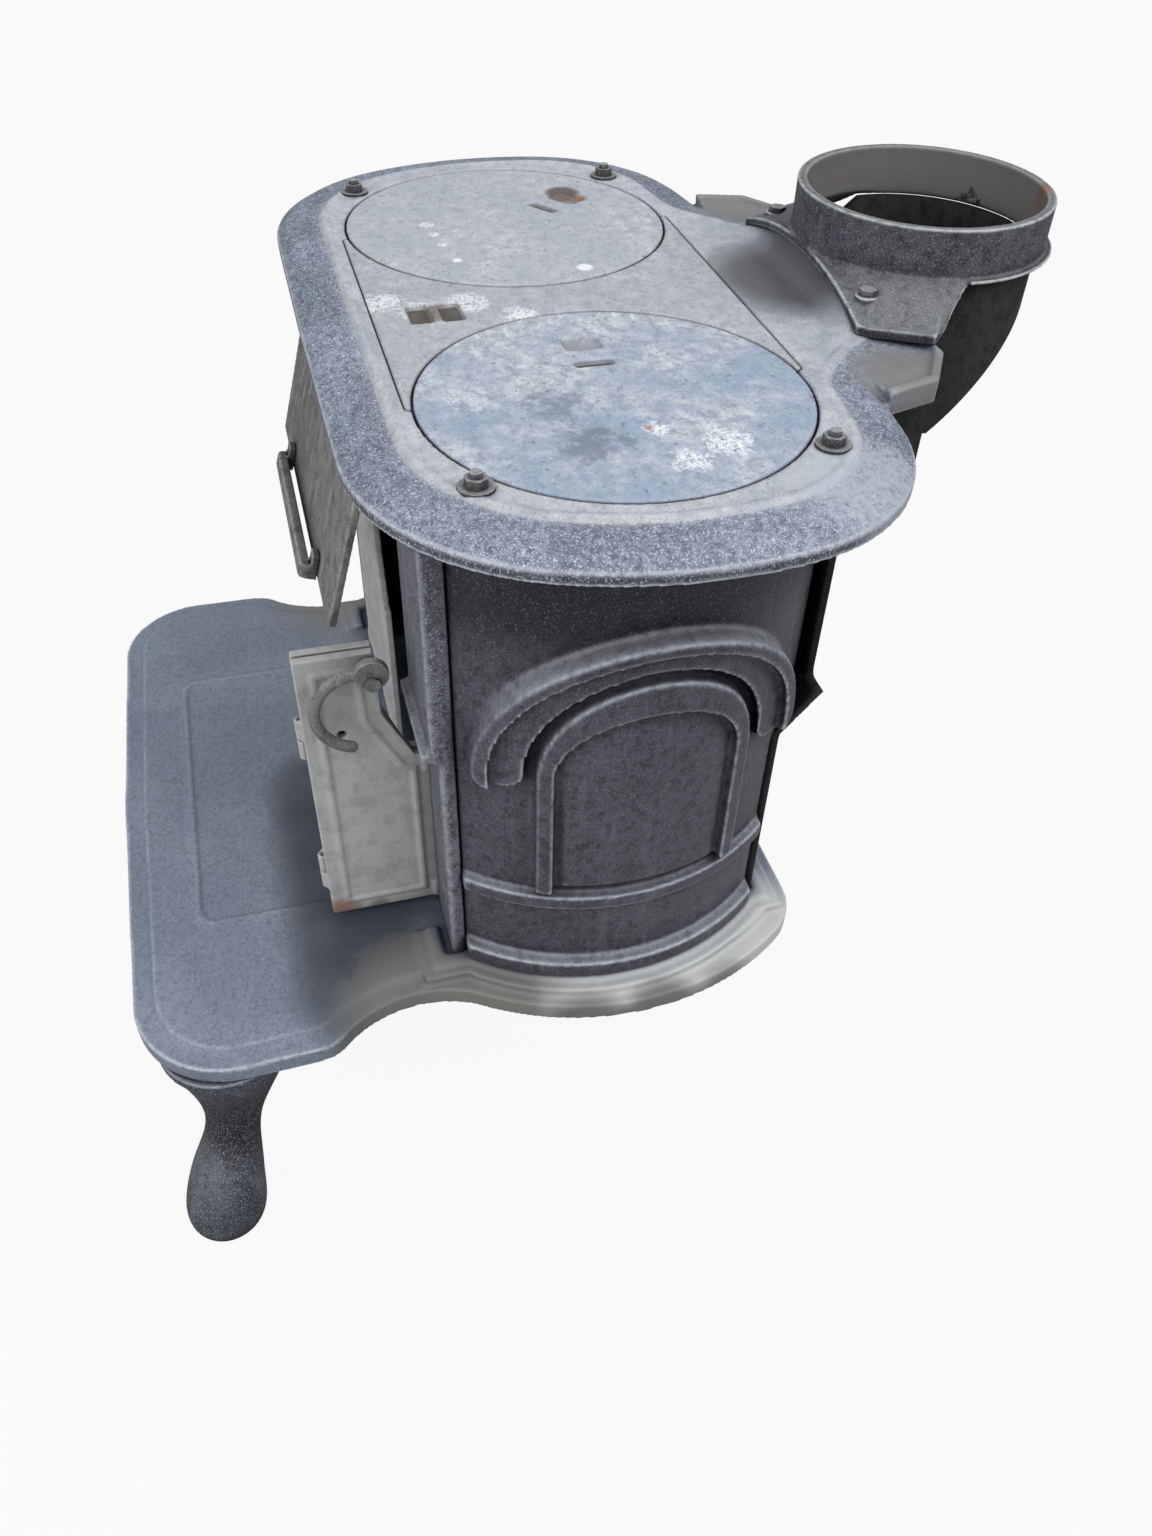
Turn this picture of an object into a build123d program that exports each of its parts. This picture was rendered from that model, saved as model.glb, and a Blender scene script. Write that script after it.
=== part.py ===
from build123d import *
import os

os.makedirs("parts", exist_ok=True)

# A cast-iron franklin stove: open hearth in front, two folding door pairs, a lifting smoke hood,
# two cooking lids with a loose plate between them, and a round smoke collar behind.
# X runs to the stove's right as it faces the room, Y to its back, Z up from the floor.
# Widths are half widths from the middle. "Ahead" and "behind" count from the line of the lid centres.

# Heights
leg_height = 186
hearth_wall = 6
pin_seat_share = 0.75
leg_bolt_share = 0.25
body_height = 330
plate_wall = 8

# Fits and gaps
loose_gap = 0.3
hole_gap = 0.1
pin_gap = 0.25
overrun = 20

# Cast base with its front hearth
hearth_ahead = 312
hearth_half = 240
hearth_bow = 4
hearth_corner = 62
hearth_shoulder = 20
waist_front_half = 236
waist_front_ahead = 192
waist_half = 211
waist_ahead = 143
waist_back_half = 219
waist_back_ahead = 103
waist_blend = 14
base_half = 250
base_back_half = 204
base_behind = 118
base_corner = 42
rim_drop = 16
rim_wall = 6
rim_step_width = 13
rim_step_drop = 3
plinth_start_half = 165
plinth_low_grow = 16
plinth_low_rise = 2.5
plinth_high_grow = 8
plinth_high_rise = 5
panel_line_half = 128
panel_line_front = 268
panel_line_back = 166
panel_line_corner = 14
panel_line_width = 4
panel_line_rise = 1.4

# Bowed side panels
bow_centre = 87
bow_ahead = 8
bow_radius = 138
panel_wall = 5
panel_front_ahead = 103
panel_back_low = 87
panel_back_high = 111
panel_step_low = 143
panel_step_high = 173
flange_wall = 6
flange_width = 42
flange_front_width = 26

# Raised ornament on the side panels, heights below the top of the panel
brow_half = 94
brow_rise = 90
brow_below = 155
brow_inner_half = 67
brow_inner_rise = 69
brow_end_drop = 10
brow_proud = 7
ridge_width = 8
ridge_proud = 13
arch_half = 61
arch_rise = 63
arch_leg = 92
arch_inner_half = 52
arch_inner_rise = 42
arch_proud = 8
field_half = 51
field_rise = 41
field_leg = 90
field_inner_half = 45
field_inner_rise = 46
field_inner_drop = 30
field_inner_leg = 56
field_low_proud = 1.5
field_proud = 5
field_steps = 5
belt_high_below = 257
belt_high_tall = 11
belt_high_proud = 6
belt_low_below = 318
belt_low_tall = 12
belt_low_proud = 8

# Front frame
frame_half = 190
frame_upper_ahead = 116
frame_lower_ahead = 112
frame_wall = 6
frame_return_wall = 6
frame_corner = 5
lower_half = 144
lower_rise = 174
upper_half = 118
header_drop = 22
ledge_tall = 6
ledge_ahead = 121
ledge_half = 188

# Back panel and smoke box
back_wall = 6
back_half = 187
back_high_half = 170
flue_half = 85
flue_low_below = 60
flue_high_below = 18
box_half = 125
box_behind = 180
box_wall = 5
box_drop = 66
box_floor_front = 219
box_floor_back = 291
box_back_tall = 3
box_round_radius = 70.5
box_neck_drop = 15

# Top plate
plate_half = 268
plate_middle_ahead = 7
plate_ahead = 145
plate_corner_half = 204
plate_corner_ahead = 143.5
plate_corner_front = 120
plate_back_half = 233
plate_back_behind = 129
plate_corner_back = 105
plate_shoulder_half = 138
plate_shoulder_behind = 141
plate_neck_half = 112
plate_neck_start = 166
plate_neck_end = 190
plate_neck_blend = 16
plate_skirt = 15
plate_skirt_wall = 6
flat_inset = 29
flat_rise = 1.2
rim_slope_width = 24
rim_slope_drop = 3
rim_edge_width = 9
rim_edge_drop = 4
bead_inset = 29.4
bead_width = 3.6
bead_rise = 1.2
bead_behind = 138
ear_inner_half = 98
ear_half = 150
ear_front = 140
ear_far_half = 141
ear_far_behind = 172
ear_sink = 3
ear_wall = 11
ear_lip = 6
hump_half = 86
hump_foot_half = 84
hump_rise = 16
hump_front = 140
hump_round = 14
hump_mouth_half = 66
hump_wall = 5

# Lids and the loose plate between them
lid_radius = 101.6
lid_spacing = 122
lid_wall = 5
lid_gap = 1
stadium_half_depth = 106
ledge_width = 7
loose_plate_lip = 6
loose_plate_reach = 90
lid_slot_long = 22
lid_slot_wide = 7
lid_slot_out = 38
lid_slot_depth = 3.5
lid_pocket_out = 62
lid_pocket_long = 22
lid_pocket_wide = 16
lid_pocket_depth = 2.5
left_lid_turn = -53.5
plate_pocket_ahead = 70
plate_pocket_long = 13
plate_pocket_wide = 24
plate_pocket_depth = 3.5
plate_pocket_pitch = 18
plate_pocket_side = 5

# Smoke collar
collar_behind = 225
collar_radius = 74.7
collar_wall = 5.5
collar_rim = 48.5
collar_straight = 26
collar_flange_wall = 5
collar_front = 150
collar_front_half = 84
collar_side_half = 104
collar_side_behind = 188
collar_skirt_radius = 77
collar_bolt_half = 66
collar_bolt_behind = 163
collar_boss_rise = 15
collar_boss_radius = 7
collar_arc_share = 0.7071
collar_foot_start = 190.5
collar_foot_bend = 219
collar_foot_rise = 20
collar_lip_radius = 79
collar_lip_wall = 2

# Legs
leg_half = 197
leg_ahead = 257
rear_leg_half = 46
rear_leg_behind = 50
leg_splay_side = 24
leg_splay_front = 28
leg_top_radius = 40
leg_band_radius = 42
leg_band_tall = 8
leg_tab_reach = 62
leg_tab_half = 13
leg_tab_tall = 8
leg_bolt_reach = 50
leg_rise_share = [0, 0.05, 0.17, 0.32, 0.44, 0.56, 0.68, 0.81, 0.92, 1]
leg_out_share = [1, 1, 0.9, 0.68, 0.46, 0.28, 0.14, 0.04, 0, 0]
leg_girth_share = [0.56, 0.66, 0.66, 0.57, 0.47, 0.47, 0.6, 0.8, 0.96, 1]

# Fasteners
bolt_radius = 4
bolt_head_radius = 7.5
bolt_head_tall = 5.5
stud_radius = 3
stud_nut_radius = 5.8
stud_nut_tall = 4.5
washer_radius = 8.8
washer_wall = 1.4
stud_above_nut = 2.5
collar_bolt_radius = 3
collar_head_radius = 5
collar_head_tall = 3
boss_radius = 10
boss_tall = 26
boss_hole_depth = 22
stud_half = 194.5
stud_ahead = 87
base_bolt_half = 189
base_bolt_ahead = 78
base_bolt_behind = 62
small_bolt_radius = 3
small_head_radius = 6
small_head_tall = 4
back_bolt_low_rise = 60
back_bolt_high_rise = 250
back_bolt_low_half = 172
back_bolt_high_half = 146
frame_bolt_half = 172
frame_bolt_low_rise = 50
frame_bolt_high_rise = 270

# Folding doors, built shut and then swung open
door_pin_half = 138.5
door_pin_ahead = 112
door_wall = 5
door_fold = 69
door_fold_back = 3.5
door_fold_split = 0.4
door_low_rise = 6
door_tall = 207
door_heel = 2.5
door_shoulder_rise = 128
door_shoulder_width = 6.5
door_notch = 23
door_notch_rise = 168
door_top_in = 25
door_meet = 0.5
knuckle_radius = 4
knuckle_tall = 14
door_pin_radius = 2
lug_radius = 4.5
lug_tall = 6
fold_knuckle_radius = 3.3
fold_knuckle_tall = 15
fold_pin_radius = 1.4
fold_low_rise = 22
fold_high_rise = 134
door_bead_width = 3
door_bead_rise = 1.2
door_bead_in = 9
door_hole_radius = 2.8
door_hole_out = 47
door_hole_rise = 158
right_door_swing = 90

# Door handle, out from the hinge pin and up from the hearth
handle_boss_out = 28
handle_boss_rise = 211
handle_boss_radius = 9.5
handle_boss_wall = 5
handle_stand = 13
handle_post_radius = 5.5
handle_bend_out = 60
handle_bend_rise = 193
handle_end_out = 43
handle_end_rise = 161
handle_thick = 3.4
handle_screw_radius = 3
handle_screw_head = 4.5
handle_screw_head_tall = 1.5
handle_post_drop = 5

# Smoke hood
hood_half = 117
hood_pin_ahead = 125
hood_pin_below = 9
hood_wall = 5
hood_long = 110
hood_tilt = 16
hood_barrel_radius = 5
hood_pin_radius = 2.5
hood_pin_depth = 18
hood_lug_wall = 7
hood_lug_radius = 7
hood_heel_half = 10
hood_heel_out = 70
hood_heel_tall = 6
pull_half = 68
pull_thick = 6
pull_tall = 9
pull_stand = 4.5
pull_drop = 2
pull_post = 9
pull_post_tall = 16
pull_round_share = 0.8
rivet_up = 7
rivet_radius = 2.5
rivet_head_radius = 4.5
rivet_head_tall = 1.5

# Fire grate
grate_half = 118
grate_front_ahead = 34
grate_behind = 76
grate_bar = 8
grate_bars = 11
grate_rise = 26
grate_foot = 12

hearth_top = leg_height + hearth_wall
body_top = hearth_top + body_height
plate_top = body_top + plate_wall
leg_top = hearth_top - rim_drop
middle_shift = (hearth_ahead - collar_behind - collar_lip_radius) / 2
hinge_level = body_top - hood_pin_below
ledge_level = hearth_top + lower_rise
lid_seat = plate_top - lid_wall
sides = (1, -1)


def drum(x, y, low, high, radius):
    return Pos(x, y, low) * extrude(Circle(radius), amount=high - low)


def block(x_low, x_high, y_low, y_high, low, high):
    middle = Pos((x_low + x_high) / 2, (y_low + y_high) / 2, (low + high) / 2)
    return middle * Box(x_high - x_low, y_high - y_low, high - low)


def six_sided(x, y, low, high, radius):
    return Pos(x, y, low) * extrude(RegularPolygon(radius, 6), amount=high - low)


def upright(sketch, low, high):
    return Pos(0, 0, low) * extrude(sketch, amount=high - low)


def sideways(sketch, x_low, x_high):
    # A sketch of depths and heights, drawn out across the stove.
    return extrude(Plane.YZ.offset(x_low) * sketch, amount=x_high - x_low)


def both_halves(half):
    return make_face(half + [mirror(edge, about=Plane.YZ) for edge in half])


def soften(sketch, corners, radius):
    picked = []
    for vertex in sketch.vertices():
        for x, y in corners:
            if abs(abs(vertex.X) - x) + abs(vertex.Y - y) < loose_gap:
                picked.append(vertex)
    return fillet(picked, radius)


def flip(solid):
    return mirror(solid, about=Plane.YZ)


def save(name, shape):
    pieces = Pos(0, middle_shift, 0) * shape
    solids = pieces.solids()
    export_step(Compound(children=solids) if len(solids) > 1 else solids[0], "parts/" + name + ".step")


# Plan outlines
def hearth_outline():
    front_end = (hearth_half, hearth_bow - hearth_ahead)
    waist_start = (waist_front_half, -waist_front_ahead)
    waist_end = (waist_back_half, -waist_back_ahead)
    back_end = (base_back_half, base_behind)
    half = [
        Line((0, -hearth_ahead), front_end),
        Line(front_end, waist_start),
        ThreePointArc(waist_start, (waist_half, -waist_ahead), waist_end),
        ThreePointArc(waist_end, (base_half, 0), back_end),
        Line(back_end, (0, base_behind)),
    ]
    plan = both_halves(half)
    plan = soften(plan, [front_end], hearth_corner)
    plan = soften(plan, [waist_start], hearth_shoulder)
    plan = soften(plan, [waist_end], waist_blend)
    return soften(plan, [back_end], base_corner)


def body_footprint(grow):
    plan = Rectangle(2 * bow_centre, 2 * (bow_radius + grow))
    for side in sides:
        plan += Pos(side * bow_centre, 0) * Circle(bow_radius + grow)
    plan = Pos(0, -bow_ahead) * plan
    reach = bow_centre + bow_radius + grow
    back = panel_back_low + back_wall + grow
    plan &= Pos(0, (back - panel_front_ahead) / 2) * Rectangle(2 * reach, back + panel_front_ahead)
    middle = (frame_upper_ahead + panel_front_ahead) / 2
    depth = frame_upper_ahead - panel_front_ahead
    plan += Pos(0, panel_back_low) * Rectangle(2 * (back_half + grow), 2 * (back_wall + grow))
    return plan + Pos(0, -middle) * Rectangle(2 * (frame_half + grow), depth + 2 * grow)


def plate_outline():
    corner = (plate_corner_half, -plate_corner_ahead)
    back = (plate_back_half, plate_back_behind)
    shoulder = (plate_shoulder_half, plate_shoulder_behind)
    neck = (plate_neck_half, plate_neck_start)
    end = (plate_neck_half, plate_neck_end + 2 * overrun)
    half = [
        Line((0, -plate_ahead), corner),
        ThreePointArc(corner, (plate_half, -plate_middle_ahead), back),
        Line(back, shoulder),
        Line(shoulder, neck),
        Line(neck, end),
        Line(end, (0, plate_neck_end + 2 * overrun)),
    ]
    plan = both_halves(half)
    plan = soften(plan, [corner], plate_corner_front)
    plan = soften(plan, [back], plate_corner_back)
    return soften(plan, [shoulder, neck], plate_neck_blend)


def stadium(grow):
    plan = Rectangle(2 * lid_spacing, 2 * (stadium_half_depth + grow))
    reach = lid_radius + lid_gap + grow
    plan &= Rectangle(2 * (lid_spacing - ledge_width), 2 * (stadium_half_depth + grow))
    for side in sides:
        plan += Pos(side * lid_spacing, 0) * Circle(reach)
    return plan


# Cast base
def hearth_base():
    plan = hearth_outline()
    shell = upright(plan, hearth_top - rim_drop, hearth_top)
    shell -= upright(offset(plan, amount=-rim_wall), hearth_top - rim_drop, leg_height)
    band = plan - offset(plan, amount=-rim_step_width)
    shell -= upright(band, hearth_top - rim_step_drop, hearth_top + overrun)
    doorway = Pos(0, -frame_upper_ahead) * Rectangle(2 * lower_half, 4 * overrun)
    doorway += Pos(0, -frame_lower_ahead - overrun) * Rectangle(2 * plinth_start_half, 2 * overrun)
    for grow, rise in ((plinth_low_grow, plinth_low_rise), (plinth_high_grow, plinth_high_rise)):
        ring = body_footprint(grow) - body_footprint(loose_gap) - doorway
        shell += upright(ring, hearth_top - hearth_wall / 2, hearth_top + rise)
    line_deep = (panel_line_front - panel_line_back)
    line_middle = -(panel_line_front + panel_line_back) / 2
    line = RectangleRounded(2 * panel_line_half, line_deep, panel_line_corner)
    line -= offset(line, amount=-panel_line_width)
    shell += upright(
        Pos(0, line_middle) * line, hearth_top - hearth_wall / 2, hearth_top + panel_line_rise,
    )
    for side in sides:
        for y in (-base_bolt_ahead, base_bolt_behind):
            x = side * base_bolt_half
            shell -= drum(x, y, leg_height - overrun, hearth_top + overrun, bolt_radius + pin_gap)
        for x, y in leg_bolt_places(side):
            shell -= drum(
                x, y, leg_height - overrun, hearth_top - hearth_wall * leg_bolt_share, bolt_radius + hole_gap,
            )
        pin_hole = hearth_top - hearth_wall * pin_seat_share
        shell -= drum(
            side * door_pin_half,
            -door_pin_ahead,
            pin_hole,
            hearth_top + overrun,
            door_pin_radius + hole_gap,
        )
    return shell


def leg_places():
    return {
        "front_right_leg": (leg_half, -leg_ahead),
        "front_left_leg": (-leg_half, -leg_ahead),
        "rear_right_leg": (rear_leg_half, rear_leg_behind),
        "rear_left_leg": (-rear_leg_half, rear_leg_behind),
    }


def leg_bolt_places(side):
    front = (side * (leg_half - leg_bolt_reach), -leg_ahead)
    rear = (side * (rear_leg_half + leg_bolt_reach), rear_leg_behind)
    return (front, rear)


# A cabriole leg: it swells under its top band, thins at the ankle and sweeps out to a round pad.
def leg(x, y):
    side = 1 if x > 0 else -1
    front = 1 if y > 0 else -1
    rings = []
    for rise, out, girth in zip(leg_rise_share, leg_out_share, leg_girth_share):
        across = x + side * leg_splay_side * out
        along = y + front * leg_splay_front * out
        rings.append(Pos(across, along, leg_top * rise) * Circle(leg_top_radius * girth))
    shape = loft(rings)
    shape += drum(x, y, leg_top - leg_band_tall, leg_top, leg_band_radius)
    inward = -side if y < 0 else side
    reach = sorted((x, x + inward * leg_tab_reach))
    tab = block(
        reach[0],
        reach[1],
        y - leg_tab_half,
        y + leg_tab_half,
        leg_height - leg_tab_tall,
        leg_height,
    )
    shape += tab
    shape += drum(x, y, leg_top - leg_band_tall, leg_height, leg_tab_half)
    hole = drum(x + inward * leg_bolt_reach, y, 0, plate_top, bolt_radius + hole_gap)
    return shape - hole


def leg_bolts():
    bolts = []
    for side in sides:
        for x, y in leg_bolt_places(side):
            low = leg_height - leg_tab_tall
            shank = drum(x, y, low, hearth_top - hearth_wall / 2, bolt_radius)
            bolts.append(shank + six_sided(x, y, low - bolt_head_tall, low, bolt_head_radius))
    return Compound(children=bolts)


# Bowed side panels
def bow(reach, low, high):
    return drum(bow_centre, -bow_ahead, low, high, reach)


def panel_profile(front, cut_back):
    return make_face(
        Polyline(
            (-front, hearth_top),
            (panel_back_low - cut_back, hearth_top),
            (panel_back_low - cut_back, hearth_top + panel_step_low),
            (panel_back_high - cut_back, hearth_top + panel_step_high),
            (panel_back_high - cut_back, body_top),
            (-front, body_top),
            close=True,
        )
    )


def arched(half, rise, leg_long):
    # An arch on straight legs, with its springing line at the origin.
    shape = Ellipse(half, rise) & Pos(0, rise / 2) * Rectangle(2 * half, rise)
    return shape + Pos(0, -leg_long / 2) * Rectangle(2 * half, leg_long)


def brow():
    above = Pos(0, brow_rise / 2) * Rectangle(2 * brow_half, brow_rise)
    band = (Ellipse(brow_half, brow_rise) - Ellipse(brow_inner_half, brow_inner_rise)) & above
    end_half = (brow_half - brow_inner_half) / 2
    for side in sides:
        band += Pos(side * (brow_half - end_half), 0) * Ellipse(end_half, brow_end_drop)
    return band


def relief(sketch, proud, springing):
    # A raised form that stands off the bowed wall by the same height everywhere.
    place = Plane.YZ.offset(bow_centre) * Pos(-bow_ahead / 2, springing)
    prism = extrude(place * sketch, amount=bow_radius + overrun)
    skin = bow(bow_radius + proud, hearth_top, body_top) - bow(
        bow_radius - panel_wall / 2, hearth_top, body_top,
    )
    return prism & skin


def right_side_panel():
    reach = bow_centre + bow_radius + overrun
    outline = sideways(panel_profile(panel_front_ahead, 0), bow_centre, reach)
    wall = bow(bow_radius, hearth_top, body_top)
    wall -= bow(bow_radius - panel_wall, hearth_top, body_top)
    wall &= outline
    flange = outline - sideways(
        panel_profile(panel_front_ahead + overrun, flange_wall), bow_centre, reach,
    )
    flange &= bow(bow_radius - panel_wall / 2, hearth_top, body_top)
    edge = bow_centre + bow_radius - panel_wall
    flange &= block(edge - flange_width * 2, reach, -overrun, base_behind, hearth_top, body_top)
    wall += flange
    front = block(
        edge - flange_front_width * 2,
        edge,
        -panel_front_ahead,
        flange_wall - panel_front_ahead,
        hearth_top,
        body_top,
    )
    wall += front & bow(bow_radius - panel_wall / 2, hearth_top, body_top)

    springing = body_top - brow_below
    wall += relief(brow(), brow_proud, springing) & outline
    ridge = brow() - (Ellipse(brow_half - ridge_width, brow_rise - ridge_width))
    wall += relief(ridge, ridge_proud, springing) & outline
    arch = arched(arch_half, arch_rise, arch_leg)
    arch -= arched(arch_inner_half, arch_inner_rise, arch_leg + overrun)
    wall += relief(arch, arch_proud, springing)
    for number in range(field_steps):
        # The raised field has a sloping border, wide above and narrow beside, drawn as shallow steps.
        share = number / (field_steps - 1)
        half = field_half + (field_inner_half - field_half) * share
        rise = field_rise + (field_inner_rise - field_rise) * share
        leg_long = field_leg + (field_inner_leg - field_leg) * share
        proud = field_low_proud + (field_proud - field_low_proud) * share
        field = Pos(0, -field_inner_drop * share) * arched(half, rise, leg_long)
        wall += relief(field, proud, springing)
    for below, tall, proud in (
        (belt_high_below, belt_high_tall, belt_high_proud),
        (belt_low_below, belt_low_tall, belt_low_proud),
    ):
        belt = Pos(0, -below + brow_below) * Rectangle(4 * brow_half, tall)
        wall += relief(belt, proud, springing) & outline

    for y in (-stud_ahead, stud_ahead):
        wall += drum(stud_half, y, body_top - boss_tall, body_top, boss_radius)
        wall -= drum(stud_half, y, body_top - boss_hole_depth, body_top + overrun, stud_radius + hole_gap)
    for y in (-base_bolt_ahead, base_bolt_behind):
        boss = drum(base_bolt_half, y, hearth_top, hearth_top + boss_tall, boss_radius)
        wall += boss & bow(bow_radius - panel_wall / 2, hearth_top, body_top)
        wall -= drum(
            base_bolt_half,
            y,
            hearth_top - overrun,
            hearth_top + boss_hole_depth,
            bolt_radius + hole_gap,
        )
    for x, rise in back_bolt_places():
        wall -= along_y(
            x,
            panel_back_low - flange_width,
            base_behind,
            hearth_top + rise,
            small_bolt_radius + hole_gap,
        )
    for rise in (frame_bolt_low_rise, frame_bolt_high_rise):
        front_low = -frame_upper_ahead - overrun
        wall -= along_y(
            frame_bolt_half,
            front_low,
            -panel_front_ahead / 2,
            hearth_top + rise,
            small_bolt_radius + hole_gap,
        )
    return wall


def along_y(x, y_low, y_high, z, radius):
    return Pos(x, y_high, z) * Rot(90, 0, 0) * extrude(Circle(radius), amount=y_high - y_low)


def back_bolt_places():
    return ((back_bolt_low_half, back_bolt_low_rise), (back_bolt_high_half, back_bolt_high_rise))


def base_bolts():
    bolts = []
    for side in sides:
        for y in (-base_bolt_ahead, base_bolt_behind):
            x = side * base_bolt_half
            shank = drum(x, y, leg_height, hearth_top + boss_hole_depth - overrun / 4, bolt_radius)
            bolts.append(shank + six_sided(x, y, leg_height - bolt_head_tall, leg_height, bolt_head_radius))
    return Compound(children=bolts)


# Back panel: its upper part is set back, with the flue opening through it
def back_panel():
    profile = make_face(
        Polyline(
            (panel_back_low, hearth_top),
            (panel_back_low + back_wall, hearth_top),
            (panel_back_low + back_wall, hearth_top + panel_step_low),
            (panel_back_high + back_wall, hearth_top + panel_step_high),
            (panel_back_high + back_wall, body_top),
            (panel_back_high, body_top),
            (panel_back_high, hearth_top + panel_step_high),
            (panel_back_low, hearth_top + panel_step_low),
            close=True,
        )
    )
    panel = sideways(profile, -back_half, back_half)
    for side in sides:
        edge = sorted((side * back_high_half, side * (back_half + overrun)))
        panel -= block(edge[0], edge[1], 0, base_behind, hearth_top + panel_step_high, body_top)
        for x, rise in back_bolt_places():
            panel -= along_y(side * x, 0, base_behind, hearth_top + rise, small_bolt_radius + hole_gap)
    panel -= block(
        -flue_half, flue_half, 0, base_behind, body_top - flue_low_below, body_top - flue_high_below,
    )
    return panel


def back_bolts():
    bolts = []
    for side in sides:
        for (x, rise), back in zip(back_bolt_places(), (panel_back_low, panel_back_high)):
            face = back + back_wall
            z = hearth_top + rise
            shank = along_y(side * x, back - flange_wall - small_head_tall, face, z, small_bolt_radius)
            head = along_y(side * x, face, face + small_head_tall, z, small_head_radius)
            bolts.append(shank + head)
    return Compound(children=bolts)


# Front frame: two columns, a header, a drip ledge on each column and the lugs of the hinges
def front_frame():
    front_upper = -frame_upper_ahead
    front_lower = -frame_lower_ahead
    back = -panel_front_ahead
    frame = block(-frame_half, frame_half, front_upper, back, hearth_top, body_top)
    hollow = frame_half - frame_return_wall
    frame -= block(-hollow, hollow, front_upper + frame_wall, back, hearth_top, body_top)
    frame += frame_flanges()
    frame -= block(
        -frame_half,
        frame_half,
        front_upper - overrun,
        front_lower,
        hearth_top,
        ledge_level - ledge_tall,
    )
    frame += block(-hollow, hollow, front_lower, front_lower + frame_wall, hearth_top, ledge_level)
    upper_top = body_top - header_drop
    frame -= block(
        -upper_half, upper_half, front_upper - overrun, back, ledge_level - ledge_tall, upper_top,
    )
    frame -= block(
        -lower_half,
        lower_half,
        front_upper - overrun,
        back,
        hearth_top - overrun,
        ledge_level - ledge_tall,
    )
    for side in sides:
        reach = sorted((side * upper_half, side * ledge_half))
        frame += block(
            reach[0],
            reach[1],
            -ledge_ahead,
            front_upper + frame_wall,
            ledge_level - ledge_tall,
            ledge_level,
        )
        frame += door_lug(side)
        frame += hood_lug(side)
        for rise in (frame_bolt_low_rise, frame_bolt_high_rise):
            hole = along_y(
                side * frame_bolt_half,
                back - overrun / 2,
                0,
                hearth_top + rise,
                small_bolt_radius + hole_gap,
            )
            frame -= hole
    corners = [
        e
        for e in frame.edges().filter_by(Axis.Z)
        if abs(abs(e.center().X) - frame_half) < loose_gap and e.center().Y < -panel_front_ahead - loose_gap
    ]
    return fillet(corners, frame_corner / 2)


def frame_flanges():
    back = -panel_front_ahead
    hollow = frame_half - frame_return_wall
    shape = None
    for side in sides:
        reach = sorted((side * (hollow - flange_front_width), side * hollow))
        web = block(reach[0], reach[1], back - flange_wall / 2, back, hearth_top, body_top)
        shape = web if shape is None else shape + web
    return shape


def door_lug(side):
    # The top hinge lug reaches behind the pin so that the leaf clears it at every angle.
    low = hearth_top + door_shoulder_rise + door_low_rise + loose_gap
    x = side * door_pin_half
    reach = sorted((x, side * (lower_half + frame_wall)))
    lug = drum(x, -door_pin_ahead, low, low + lug_tall, lug_radius)
    back = door_fold_back + loose_gap
    lug += block(reach[0], reach[1], -door_pin_ahead, back - door_pin_ahead, low, low + lug_tall)
    return lug - drum(x, -door_pin_ahead, low - overrun, low + overrun, door_pin_radius + hole_gap)


def hood_lug(side):
    inner = hood_half + loose_gap
    reach = sorted((side * inner, side * (inner + hood_lug_wall)))
    lug = Pos(reach[1], -hood_pin_ahead, hinge_level) * Rot(0, -90, 0) * extrude(
        Circle(hood_lug_radius), amount=hood_lug_wall,
    )
    lug += block(
        reach[0],
        reach[1],
        -hood_pin_ahead,
        frame_wall - frame_upper_ahead,
        hinge_level - hood_lug_radius,
        hinge_level + hood_lug_radius,
    )
    hole = Pos(reach[1] + overrun, -hood_pin_ahead, hinge_level) * Rot(0, -90, 0)
    return lug - hole * extrude(Circle(hood_pin_radius + hole_gap), amount=3 * overrun)


def frame_bolts():
    bolts = []
    low = -panel_front_ahead - flange_wall / 2
    high = flange_wall - panel_front_ahead
    for side in sides:
        for rise in (frame_bolt_low_rise, frame_bolt_high_rise):
            x = side * frame_bolt_half
            z = hearth_top + rise
            shank = along_y(x, low, high, z, small_bolt_radius)
            bolts.append(shank + along_y(x, high, high + small_head_tall, z, small_head_radius))
    return Compound(children=bolts)


# Top plate
def hump_reach():
    return (hump_half * hump_half + hump_rise * hump_rise) / (2 * hump_rise)


def hump():
    # The low arch at the back of the plate, with a hollow scooped out of its front.
    disc = Pos(0, plate_top + hump_rise - hump_reach()) * Circle(hump_reach())
    disc &= Pos(0, plate_top) * Rectangle(2 * hump_foot_half, 2 * hump_rise)
    shape = extrude(Plane.XZ.offset(-plate_neck_end) * disc, amount=plate_neck_end - hump_front)
    scoop = Pos(-hump_half - overrun, hump_front, plate_top + hump_round) * Rot(0, 90, 0)
    shape -= scoop * extrude(Circle(hump_round), amount=2 * (hump_half + overrun))
    keep = block(
        -hump_foot_half,
        hump_foot_half,
        hump_front,
        plate_neck_end,
        plate_top - hump_wall,
        plate_top + 2 * hump_rise,
    )
    return shape & keep


def ear_plan(side):
    return make_face(
        Polyline(
            (side * ear_inner_half, ear_front),
            (side * ear_half, ear_front),
            (side * ear_far_half, ear_far_behind),
            (side * plate_neck_half, plate_neck_end),
            (side * ear_inner_half, plate_neck_end),
            close=True,
        )
    )


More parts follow.
